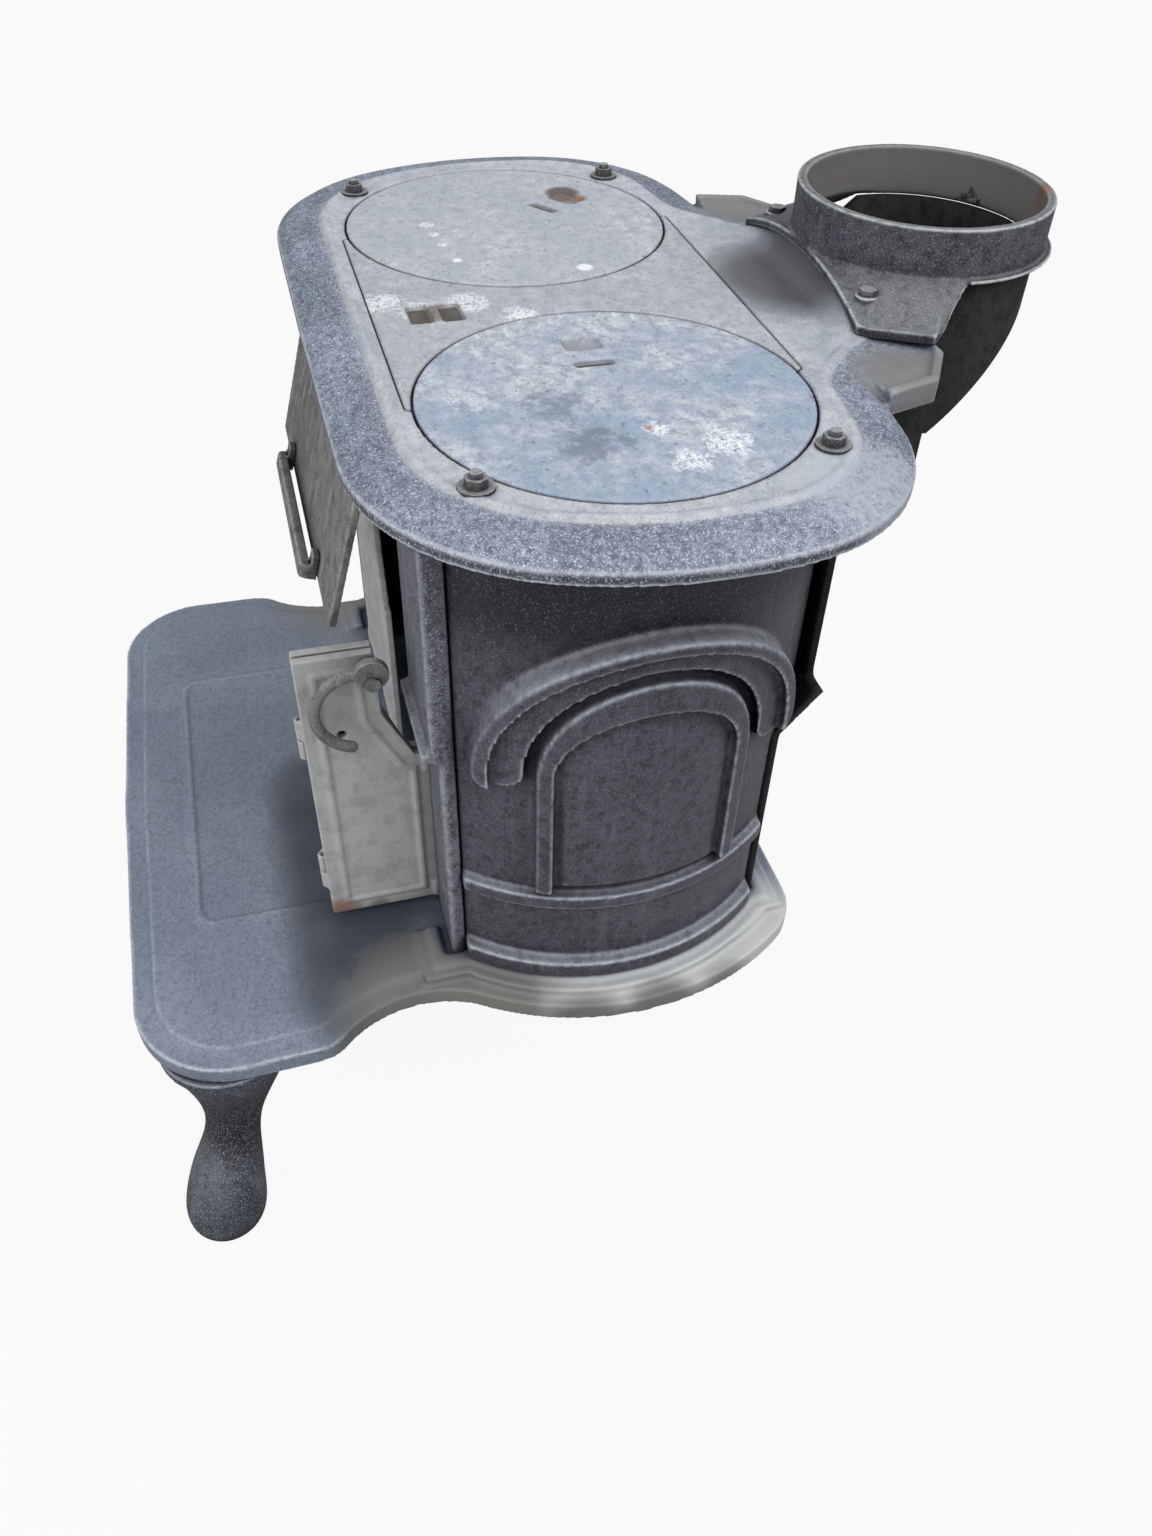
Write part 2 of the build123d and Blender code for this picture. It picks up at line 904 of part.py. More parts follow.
def top_plate():
    plan = plate_outline()
    low = body_top - plate_skirt + plate_wall
    flat_level = plate_top - flat_rise
    plate = upright(plan, low, flat_level)
    rim = [e for e in plate.edges() if abs(e.center().Z - flat_level) < hole_gap]
    rim = [e for e in rim if e.center().Y < plate_neck_end]
    plate = chamfer(rim, rim_slope_drop, rim_slope_width)
    edge_level = flat_level - rim_slope_drop
    rim = [e for e in plate.edges() if abs(e.center().Z - edge_level) < hole_gap]
    rim = [e for e in rim if e.center().Y < plate_neck_end]
    plate = chamfer(rim, rim_edge_drop, rim_edge_width)
    plate += upright(offset(plan, amount=-flat_inset), flat_level - hearth_wall / 2, plate_top)
    bead = offset(plan, amount=-bead_inset) - offset(plan, amount=-bead_inset - bead_width)
    bead &= Pos(0, bead_behind - plate_half) * Rectangle(2 * plate_half, 2 * plate_half)
    for x in (-stud_half, stud_half):
        for y in (-stud_ahead, stud_ahead):
            bead -= Pos(x, y) * Circle(washer_radius + loose_gap)
    plate += upright(bead, plate_top - flat_rise / 2, plate_top + bead_rise)
    plate -= upright(offset(plan, amount=-plate_skirt_wall), low, body_top)
    plate -= upright(stadium(0), lid_seat, plate_top + overrun)
    plate -= upright(stadium(-ledge_width), low - overrun, plate_top)
    cut = block(
        -plate_half,
        plate_half,
        plate_neck_end,
        plate_neck_end + 4 * overrun,
        low - overrun,
        plate_top + overrun,
    )
    plate -= cut

    for side in sides:
        ear = ear_plan(side)
        plate += upright(ear, plate_top - ear_sink - ear_wall, plate_top - ear_sink)
        lip = ear - Pos(-side * ear_lip, -ear_lip / 3) * ear
        plate += upright(lip, plate_top - ear_sink - ear_wall, plate_top)

    plate += hump()
    mouth = Pos(0, plate_top + hump_rise - hump_reach()) * Circle(hump_reach() - hump_wall)
    mouth &= Pos(0, plate_top) * Rectangle(2 * hump_mouth_half, 3 * hump_rise)
    start = collar_bolt_behind + collar_boss_radius
    plate -= extrude(
        Plane.XZ.offset(-plate_neck_end - overrun) * mouth, amount=overrun + plate_neck_end - start,
    )
    for side in sides:
        for y in (-stud_ahead, stud_ahead):
            plate -= drum(side * stud_half, y, low - overrun, plate_top + overrun, stud_radius + pin_gap)
        x = side * collar_bolt_half
        top = plate_top + 2 * hump_rise
        plate -= drum(x, collar_bolt_behind, low - overrun, top, collar_bolt_radius + hole_gap)
    return plate


def studs():
    pieces = []
    for side in sides:
        for y in (-stud_ahead, stud_ahead):
            top = plate_top + washer_wall + stud_nut_tall + stud_above_nut
            pieces.append(drum(side * stud_half, y, body_top - boss_hole_depth + pin_gap, top, stud_radius))
    return Compound(children=pieces)


def nuts():
    pieces = []
    for side in sides:
        for y in (-stud_ahead, stud_ahead):
            low = plate_top + washer_wall
            nut = six_sided(side * stud_half, y, low, low + stud_nut_tall, stud_nut_radius)
            hole = drum(side * stud_half, y, low - overrun, low + overrun, stud_radius + hole_gap)
            pieces.append(nut - hole)
    return Compound(children=pieces)


def washers():
    pieces = []
    for side in sides:
        for y in (-stud_ahead, stud_ahead):
            ring = drum(side * stud_half, y, plate_top, plate_top + washer_wall, washer_radius)
            hole = drum(
                side * stud_half, y, plate_top - overrun, plate_top + overrun, stud_radius + pin_gap,
            )
            pieces.append(ring - hole)
    return Compound(children=pieces)


# Lids
def lid():
    shape = drum(0, 0, lid_seat, plate_top, lid_radius)
    slot = Pos(-lid_slot_out, 0) * Rectangle(lid_slot_wide, lid_slot_long)
    pocket = Pos(-lid_pocket_out, 0) * RectangleRounded(
        lid_pocket_wide, lid_pocket_long, lid_pocket_wide / 4,
    )
    shape -= upright(slot, plate_top - lid_slot_depth, plate_top + overrun)
    shape -= upright(pocket, plate_top - lid_pocket_depth, plate_top + overrun)
    return shape


def centre_plate():
    upper = Rectangle(2 * (lid_spacing - ledge_width - lid_gap), 2 * (stadium_half_depth - lid_gap / 2))
    web = Rectangle(2 * loose_plate_reach, 2 * (stadium_half_depth - ledge_width - lid_gap))
    for side in sides:
        upper -= Pos(side * lid_spacing, 0) * Circle(lid_radius + lid_gap)
        web -= Pos(side * lid_spacing, 0) * Circle(lid_radius - ledge_width)
    plate = upright(upper, lid_seat, plate_top) + upright(web, lid_seat - loose_plate_lip, lid_seat)
    for side in sides:
        x = plate_pocket_side
        y = -plate_pocket_ahead + side * plate_pocket_pitch / 2
        pocket = Pos(x, y) * Rectangle(plate_pocket_wide, plate_pocket_long)
        plate -= upright(pocket, plate_top - plate_pocket_depth, plate_top + overrun)
    return plate


# Smoke box behind the back panel, open above to the collar. Its floor rises to the back.
def smoke_box():
    low = body_top - box_drop
    start = panel_back_high + back_wall
    far = collar_behind + 2 * collar_radius
    high = plate_top + collar_foot_rise

    def plan(grow):
        square = Rectangle(2 * (box_half + grow), 2 * (box_behind + grow))
        square &= Pos(0, box_behind) * Rectangle(4 * box_half, 2 * (box_behind - start))
        return square + Pos(0, collar_behind) * Circle(box_round_radius + grow)

    def side_view(grow):
        return make_face(
            Polyline(
                (start, low - grow),
                (box_floor_front, low - grow),
                (box_floor_back + grow / 2, plate_top - box_back_tall - grow),
                (far, plate_top - box_back_tall + overrun - grow),
                (far, high),
                (start, high),
                close=True,
            )
        )

    outer = upright(plan(0), low, high) & sideways(side_view(0), -box_half, box_half)
    inner = upright(plan(-box_wall), low, high) & sideways(side_view(-box_wall), -box_half, box_half)
    shape = outer - inner
    under_neck = plate_top - box_neck_drop
    head = block(-2 * box_half, 2 * box_half, 0, plate_neck_end + loose_gap, under_neck, high + overrun)
    return shape - head - Pos(0, 0, -loose_gap) * above_foot()


def foot_profile(level):
    # The foot of the collar from the side: flat on the plate's neck, then rising to the back.
    far = collar_behind + 2 * collar_radius
    return make_face(
        Polyline(
            (0, plate_top),
            (collar_foot_start, plate_top),
            (collar_foot_bend, plate_top + collar_foot_rise),
            (far, plate_top + collar_foot_rise),
            (far, level),
            (0, level),
            close=True,
        )
    )


def above_foot():
    return sideways(foot_profile(plate_top + collar_rim + overrun), -2 * box_half, 2 * box_half)


def below_foot():
    return sideways(foot_profile(plate_top - overrun), -2 * box_half, 2 * box_half)


# Smoke collar: a straight ring for the pipe above a skirt that flares to a flange
def collar_plan(grow):
    diagonal = (collar_skirt_radius + grow) * collar_arc_share
    half = [
        Line((0, collar_front - grow), (collar_front_half + grow / 2, collar_front - grow)),
        Line(
            (collar_front_half + grow / 2, collar_front - grow),
            (collar_side_half + grow, collar_side_behind),
        ),
        Line((collar_side_half + grow, collar_side_behind), (collar_skirt_radius + grow, collar_behind)),
        ThreePointArc(
            (collar_skirt_radius + grow, collar_behind),
            (diagonal, collar_behind + diagonal),
            (0, collar_behind + collar_skirt_radius + grow),
        ),
    ]
    return both_halves(half)


def smoke_collar():
    ring_low = plate_top + collar_rim - collar_straight
    flange_low = plate_top
    flange_top = plate_top + collar_flange_wall
    ring = drum(0, collar_behind, ring_low, plate_top + collar_rim, collar_radius)
    foot = Pos(0, 0, flange_top) * collar_plan(0)
    outer = loft([foot, Pos(0, collar_behind, ring_low) * Circle(collar_radius)])
    body = ring + outer + upright(collar_plan(0), flange_low, flange_top)
    seat = flange_low + collar_boss_rise
    for side in sides:
        body += drum(side * collar_bolt_half, collar_bolt_behind, flange_low, seat, collar_boss_radius)
    foot_top = plate_top + collar_foot_rise
    lip = drum(0, collar_behind, foot_top, foot_top + collar_lip_wall, collar_lip_radius)
    body += lip & block(
        -box_half, box_half, collar_foot_bend, 2 * hearth_ahead, plate_top, foot_top + overrun,
    )
    bore = collar_radius - collar_wall
    foot = Pos(0, 0, flange_low) * collar_plan(-collar_wall)
    inner = loft([foot, Pos(0, collar_behind, ring_low) * Circle(bore)])
    body -= inner
    body -= drum(0, collar_behind, ring_low, plate_top + collar_rim + overrun, bore)
    body += saddle(collar_flange_wall) & upright(collar_plan(0), plate_top, plate_top + 2 * collar_rim)
    body -= saddle(0)
    for side in sides:
        x = side * collar_bolt_half
        body -= drum(x, collar_bolt_behind, seat, plate_top + collar_rim, collar_head_radius + hole_gap)
        body -= drum(
            x,
            collar_bolt_behind,
            plate_top - overrun,
            seat + overrun,
            collar_bolt_radius + hole_gap,
        )
    return body - below_foot()


def saddle(grow):
    # The arch of the plate's hump, or a shell of it where grow is given.
    reach = hump_reach() + grow
    disc = Pos(0, plate_top + hump_rise - hump_reach()) * Circle(reach)
    disc &= Pos(0, plate_top + hump_rise) * Rectangle(2 * (hump_half + grow), 2 * hump_rise + grow)
    return extrude(Plane.XZ.offset(-plate_neck_end) * disc, amount=plate_neck_end - collar_front)


# Folding doors, drawn shut for the left side: out from the hinge pin along X, outer face towards -Y
def leaf_outline(start, end):
    low = hearth_top + door_low_rise
    return make_face(
        Polyline(
            (start, low),
            (start, low + door_shoulder_rise),
            (start + door_shoulder_width + door_heel, low + door_shoulder_rise),
            (door_notch, hearth_top + door_notch_rise),
            (door_top_in, low + door_tall),
            (end, low + door_tall),
            (end, low),
            close=True,
        )
    )


def facing(sketch, back, front):
    # A sketch of widths and heights, given a thickness towards the room.
    return extrude(Plane.XZ.offset(-back) * sketch, amount=back + front)


def knuckle(x, y, low, high, radius, bore):
    return drum(x, y, low, high, radius), drum(x, y, low - loose_gap, high + loose_gap, bore)


def fold_spans():
    low = hearth_top + door_low_rise
    lower = low + fold_low_rise
    upper = low + fold_high_rise
    middle = fold_knuckle_tall
    outer = ((lower, lower + middle), (upper + middle, upper + 2 * middle))
    inner = ((lower + middle, lower + 2 * middle), (upper, upper + middle))
    return outer, inner


def outer_leaf():
    low = hearth_top + door_low_rise
    half = door_wall / 2
    leaf = facing(leaf_outline(-door_heel, door_fold - door_fold_split), half, half)
    bead = offset(leaf_outline(-door_heel, door_fold - door_fold_split), amount=-door_bead_in)
    bead -= offset(bead, amount=-door_bead_width)
    leaf += facing(bead, -half, half + door_bead_rise)
    leaf -= along_y(door_hole_out, -overrun, overrun, hearth_top + door_hole_rise, door_hole_radius)
    spans = ((low, low + knuckle_tall), (low + door_shoulder_rise - knuckle_tall, low + door_shoulder_rise))
    for start, stop in spans:
        barrel, bore = knuckle(0, 0, start, stop, knuckle_radius, door_pin_radius + pin_gap)
        leaf += barrel
        leaf -= bore
    mine, other = fold_spans()
    return fold_edge(leaf, mine, other)


def inner_leaf():
    half = door_wall / 2
    span = door_fold - door_fold_split
    plain = facing(leaf_outline(door_meet, span), half, half)
    bead = offset(leaf_outline(door_meet, span), amount=-door_bead_in)
    bead -= offset(bead, amount=-door_bead_width)
    plain += facing(bead, -half, half + door_bead_rise)
    # The inner leaf mirrors the outer one about the fold.
    leaf = Pos(2 * door_fold, 0, 0) * flip(plain)
    other, mine = fold_spans()
    return fold_edge(leaf, mine, other)


def fold_edge(leaf, mine, other):
    for start, stop in other:
        clear = drum(
            door_fold,
            door_fold_back,
            start - loose_gap,
            stop + loose_gap,
            fold_knuckle_radius + loose_gap,
        )
        leaf -= clear
    for start, stop in mine:
        trimmed = (start + hole_gap, stop - hole_gap)
        leaf += drum(door_fold, door_fold_back, trimmed[0], trimmed[1], fold_knuckle_radius)
        leaf -= drum(
            door_fold,
            door_fold_back,
            start - loose_gap,
            stop + loose_gap,
            fold_pin_radius + pin_gap,
        )
    return leaf


def fold_pins():
    mine, other = fold_spans()
    pins = []
    for first, second in zip(mine, other):
        low = min(first + second) + loose_gap
        high = max(first + second) - loose_gap
        pins.append(drum(door_fold, door_fold_back, low, high, fold_pin_radius))
    return pins


def handle():
    half = door_wall / 2
    boss_z = hearth_top + handle_boss_rise
    face = half + handle_stand
    boss = along_y(handle_boss_out, -face - handle_boss_wall, -face, boss_z, handle_boss_radius)
    post = along_y(handle_boss_out, -face, -half, boss_z - handle_post_drop, handle_post_radius)
    grip_y = handle_thick - face - handle_boss_wall
    start = (handle_boss_out, grip_y, boss_z)
    bend = (handle_bend_out, grip_y, hearth_top + handle_bend_rise)
    end = (handle_end_out, grip_y, hearth_top + handle_end_rise)
    path = ThreePointArc(start, bend, end)
    section = Plane(origin=path @ 0, z_dir=path % 0) * Circle(handle_thick)
    grip = sweep(section, path=path)
    hole = along_y(
        handle_boss_out,
        -face - 2 * overrun,
        0,
        boss_z - handle_post_drop,
        handle_screw_radius + hole_gap,
    )
    return boss + post + grip + Pos(*end) * Sphere(handle_thick) - hole


def handle_screw():
    half = door_wall / 2
    z = hearth_top + handle_boss_rise - handle_post_drop
    face = half + handle_stand + handle_boss_wall
    shank = along_y(handle_boss_out, -face, -half, z, handle_screw_radius)
    head = along_y(handle_boss_out, -face - handle_screw_head_tall, -face, z, handle_screw_head)
    return shank + head


def swing(shape, angle):
    return Pos(-door_pin_half, -door_pin_ahead, 0) * Rot(0, 0, -angle) * shape


def fold(shape):
    about = Pos(door_fold, door_fold_back, 0)
    return about * Rot(0, 0, 180) * about.inverse() * shape


def door_hinge_pins():
    low = hearth_top + door_low_rise
    shoulder = low + door_shoulder_rise
    pins = []
    for side in sides:
        x = side * door_pin_half
        bottom = hearth_top - hearth_wall * pin_seat_share + hole_gap
        pins.append(drum(x, -door_pin_ahead, bottom, low + knuckle_tall - loose_gap, door_pin_radius))
        top = shoulder + lug_tall + loose_gap
        pins.append(drum(x, -door_pin_ahead, shoulder - knuckle_tall + loose_gap, top, door_pin_radius))
    return Compound(children=pins)


# Smoke hood, drawn hanging straight down and then tilted forward
def tilt(shape):
    return Pos(0, -hood_pin_ahead, hinge_level) * Rot(-hood_tilt, 0, 0) * shape


def across(x_low, x_high, y, z, radius):
    return Pos(x_low, y, z) * Rot(0, 90, 0) * extrude(Circle(radius), amount=x_high - x_low)


def hood_flap():
    half = hood_wall / 2
    flap = block(-hood_half, hood_half, -half, half, -hood_long, 0)
    flap += across(-hood_half, hood_half, 0, 0, hood_barrel_radius)
    for side in sides:
        reach = sorted((side * (hood_half - hood_pin_depth), side * (hood_half + overrun)))
        flap -= across(reach[0], reach[1], 0, 0, hood_pin_radius + pin_gap)
    for side in sides:
        flap -= Pos(0, 0, rivet_level()) * along_y(
            side * rivet_out(), -overrun, overrun, 0, rivet_radius + hole_gap,
        )
    shape = tilt(flap)
    # A heel behind the barrel meets the header and holds the flap at its tilt.
    face = -frame_upper_ahead - loose_gap
    for side in sides:
        x = side * hood_heel_out
        shape += block(
            x - hood_heel_half,
            x + hood_heel_half,
            -hood_pin_ahead,
            face,
            hinge_level - hood_heel_tall,
            hinge_level - hood_heel_tall / 6,
        )
    return shape


def rivet_level():
    return rivet_up - hood_long


def rivet_out():
    return pull_half - pull_post / 2


def hood_pull_bar():
    half = hood_wall / 2
    z_low = -pull_drop - hood_long
    front = -half - pull_stand
    depth = pull_thick + pull_stand
    plan = Pos(0, -half - depth / 2) * Rectangle(2 * pull_half, depth)
    plan = soften(plan, [(pull_half, -half - depth)], pull_thick * pull_round_share)
    plan -= Pos(0, -half - pull_stand / 2) * Rectangle(2 * (pull_half - pull_post), pull_stand)
    bar = upright(plan, z_low, z_low + pull_tall)
    for side in sides:
        reach = sorted((side * (pull_half - pull_post), side * pull_half))
        bar += block(reach[0], reach[1], front, -half, z_low, z_low + pull_post_tall)
        bar -= along_y(side * rivet_out(), front, overrun, rivet_level(), rivet_radius + hole_gap)
    return tilt(bar)


def hood_rivets():
    half = hood_wall / 2
    pieces = []
    for side in sides:
        x = side * rivet_out()
        shank = along_y(x, -half - pull_stand + loose_gap, half, rivet_level(), rivet_radius)
        head = along_y(x, half, half + rivet_head_tall, rivet_level(), rivet_head_radius)
        pieces.append(tilt(shank + head))
    return Compound(children=pieces)


def hood_hinge_pins():
    pieces = []
    for side in sides:
        outside = hood_half + loose_gap + hood_lug_wall
        reach = sorted((side * (hood_half - hood_pin_depth + loose_gap), side * outside))
        pieces.append(across(reach[0], reach[1], -hood_pin_ahead, hinge_level, hood_pin_radius))
    return Compound(children=pieces)


# Fire grate: bars across two runners on four feet
def fire_grate():
    low = hearth_top + grate_rise - grate_bar
    high = hearth_top + grate_rise
    shape = None
    for y in (-grate_front_ahead, grate_behind - grate_bar):
        runner = block(-grate_half, grate_half, y, y + grate_bar, low, high)
        shape = runner if shape is None else shape + runner
    pitch = (2 * grate_half - grate_bar) / (grate_bars - 1)
    for number in range(grate_bars):
        x = number * pitch - grate_half
        shape += block(x, x + grate_bar, -grate_front_ahead, grate_behind, low, high)
    for side in sides:
        for y in (-grate_front_ahead, grate_behind - grate_foot):
            reach = sorted((side * grate_half, side * (grate_half - grate_foot)))
            shape += block(reach[0], reach[1], y, y + grate_foot, hearth_top, low + grate_bar / 2)
    return shape


def collar_bolts():
    pieces = []
    for side in sides:
        x = side * collar_bolt_half
        seat = plate_top + collar_boss_rise
        shank = drum(x, collar_bolt_behind, body_top, seat, collar_bolt_radius)
        head = six_sided(x, collar_bolt_behind, seat, seat + collar_head_tall, collar_head_radius)
        pieces.append(shank + head)
    return Compound(children=pieces)


save("hearth_base", hearth_base())
for name, (x, y) in leg_places().items():
    save(name, leg(x, y))
save("leg_bolts", leg_bolts())
save("base_bolts", base_bolts())
panel = right_side_panel()
save("right_side_panel", panel)
save("left_side_panel", flip(panel))
save("back_panel", back_panel())
save("back_bolts", back_bolts())
save("front_frame", front_frame())
save("frame_bolts", frame_bolts())
save("top_plate", top_plate())
save("top_studs", studs())
save("top_nuts", nuts())
save("top_washers", washers())
save("right_lid", Pos(lid_spacing, 0, 0) * lid())
save("left_lid", Pos(-lid_spacing, 0, 0) * Rot(0, 0, left_lid_turn) * lid())
save("centre_plate", centre_plate())
save("smoke_box", smoke_box())
save("smoke_collar", smoke_collar())
save("collar_bolts", collar_bolts())
save("left_outer_door", swing(outer_leaf(), 0))
save("left_inner_door", swing(inner_leaf(), 0))
save("left_fold_pins", Compound(children=[swing(pin, 0) for pin in fold_pins()]))
save("right_outer_door", flip(swing(outer_leaf(), right_door_swing)))
save("right_inner_door", flip(swing(fold(inner_leaf()), right_door_swing)))
save("right_fold_pins", Compound(children=[flip(swing(pin, right_door_swing)) for pin in fold_pins()]))
save("right_door_handle", flip(swing(handle(), right_door_swing)))
save("right_handle_screw", flip(swing(handle_screw(), right_door_swing)))
save("door_hinge_pins", door_hinge_pins())
save("hood_flap", hood_flap())
save("hood_pull_bar", hood_pull_bar())
save("hood_rivets", hood_rivets())
save("hood_hinge_pins", hood_hinge_pins())
save("fire_grate", fire_grate())
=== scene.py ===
import math

import bmesh
import bpy
from mathutils import Matrix, Vector


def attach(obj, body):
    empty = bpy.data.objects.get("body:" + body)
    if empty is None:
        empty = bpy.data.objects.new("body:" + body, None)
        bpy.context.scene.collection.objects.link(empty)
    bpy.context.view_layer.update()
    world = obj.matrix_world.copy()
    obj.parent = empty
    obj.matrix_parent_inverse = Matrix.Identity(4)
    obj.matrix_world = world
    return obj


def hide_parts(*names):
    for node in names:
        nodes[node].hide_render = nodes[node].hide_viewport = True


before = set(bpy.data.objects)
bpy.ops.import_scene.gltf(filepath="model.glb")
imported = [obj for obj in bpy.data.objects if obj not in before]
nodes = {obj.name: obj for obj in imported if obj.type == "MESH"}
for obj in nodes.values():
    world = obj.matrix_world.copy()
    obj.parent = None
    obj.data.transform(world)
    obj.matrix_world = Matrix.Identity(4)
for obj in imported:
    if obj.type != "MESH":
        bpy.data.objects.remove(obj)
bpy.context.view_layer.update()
print("stove frame loaded:", len(nodes), "pieces")

# Heights and places that several finishes use, in metres
plateTop = 0.530
hearthTop = 0.192
lidLine = 0.004
boltHoleSkin = 0.0015
safeSkin = 0.0040
sameLevel = 0.0002
mergeReach = 0.00001
triangleLimit = 150000
plateLevels = {
    "flat": plateTop - 0.0004, "rim": plateTop - 0.0014, "skirt": plateTop - 0.0065,
    "skirtFull": plateTop - 0.0110, "pocket": plateTop - 0.0008, "pocketFull": plateTop - 0.0018,
    "slot": plateTop - 0.0024, "slotFull": plateTop - 0.0032,
}


# Small helpers for node trees
def addNode(tree, kind, **settings):
    node = tree.nodes.new(kind)
    for key, value in settings.items():
        if hasattr(node, key):
            setattr(node, key, value)
        else:
            node.inputs[key.replace("_", " ")].default_value = value
    return node


def objectCoords(tree, stretch=(1, 1, 1)):
    coords = addNode(tree, "ShaderNodeTexCoord")
    mapping = addNode(tree, "ShaderNodeMapping")
    mapping.inputs["Scale"].default_value = stretch
    tree.links.new(coords.outputs["Object"], mapping.inputs["Vector"])
    return mapping.outputs["Vector"]


def noise(tree, coords, scale, detail=4.0, rough=0.6, bend=0.0):
    node = addNode(tree, "ShaderNodeTexNoise")
    node.inputs["Scale"].default_value = scale
    node.inputs["Detail"].default_value = detail
    node.inputs["Roughness"].default_value = rough
    node.inputs["Distortion"].default_value = bend
    tree.links.new(coords, node.inputs["Vector"])
    return node.outputs["Fac"]


def grainNoise(tree, coords):
    return noise(tree, coords, 950, 3.0, 0.75)


def between(tree, value, low, high, toLow=0.0, toHigh=1.0):
    node = addNode(tree, "ShaderNodeMapRange", interpolation_type="SMOOTHSTEP", clamp=True)
    tree.links.new(value, node.inputs["Value"])
    node.inputs["From Min"].default_value = low
    node.inputs["From Max"].default_value = high
    node.inputs["To Min"].default_value = toLow
    node.inputs["To Max"].default_value = toHigh
    return node.outputs["Result"]


def combine(tree, operation, first, second):
    node = addNode(tree, "ShaderNodeMath", operation=operation)
    node.use_clamp = True
    for socket, value in zip(node.inputs, (first, second)):
        if isinstance(value, (int, float)):
            socket.default_value = value
        else:
            tree.links.new(value, socket)
    return node.outputs["Value"]


def times(tree, first, second):
    return combine(tree, "MULTIPLY", first, second)


def weighed(tree, first, firstShare, second, secondShare):
    return combine(tree, "ADD", times(tree, first, firstShare), times(tree, second, secondShare))


def blendColour(tree, factor, under, over):
    node = addNode(tree, "ShaderNodeMix", data_type="RGBA")
    for name, value in (("Factor", factor), ("A", under), ("B", over)):
        socket = [s for s in node.inputs if s.name == name and s.enabled][0]
        if isinstance(value, tuple):
            socket.default_value = (*value, 1.0)
        elif isinstance(value, (int, float)):
            socket.default_value = value
        else:
            tree.links.new(value, socket)
    return [s for s in node.outputs if s.enabled][0]


def layer(tree, colour, over, value, start, end, share, atStart=0.0):
    # Lays a colour over another as the value passes from start to end
    return blendColour(tree, between(tree, value, start, end, atStart, share), colour, over)


def nearPlace(tree, coords, place, inner, outer):
    # 1 within the inner radius of a place, 0 beyond the outer one
    node = addNode(tree, "ShaderNodeVectorMath", operation="DISTANCE")
    tree.links.new(coords, node.inputs[0])
    node.inputs[1].default_value = place
    return between(tree, node.outputs["Value"], inner, outer, 1.0, 0.0)


def heightOf(tree, coords):
    node = addNode(tree, "ShaderNodeSeparateXYZ")
    tree.links.new(coords, node.inputs[0])
    return node.outputs["Z"]


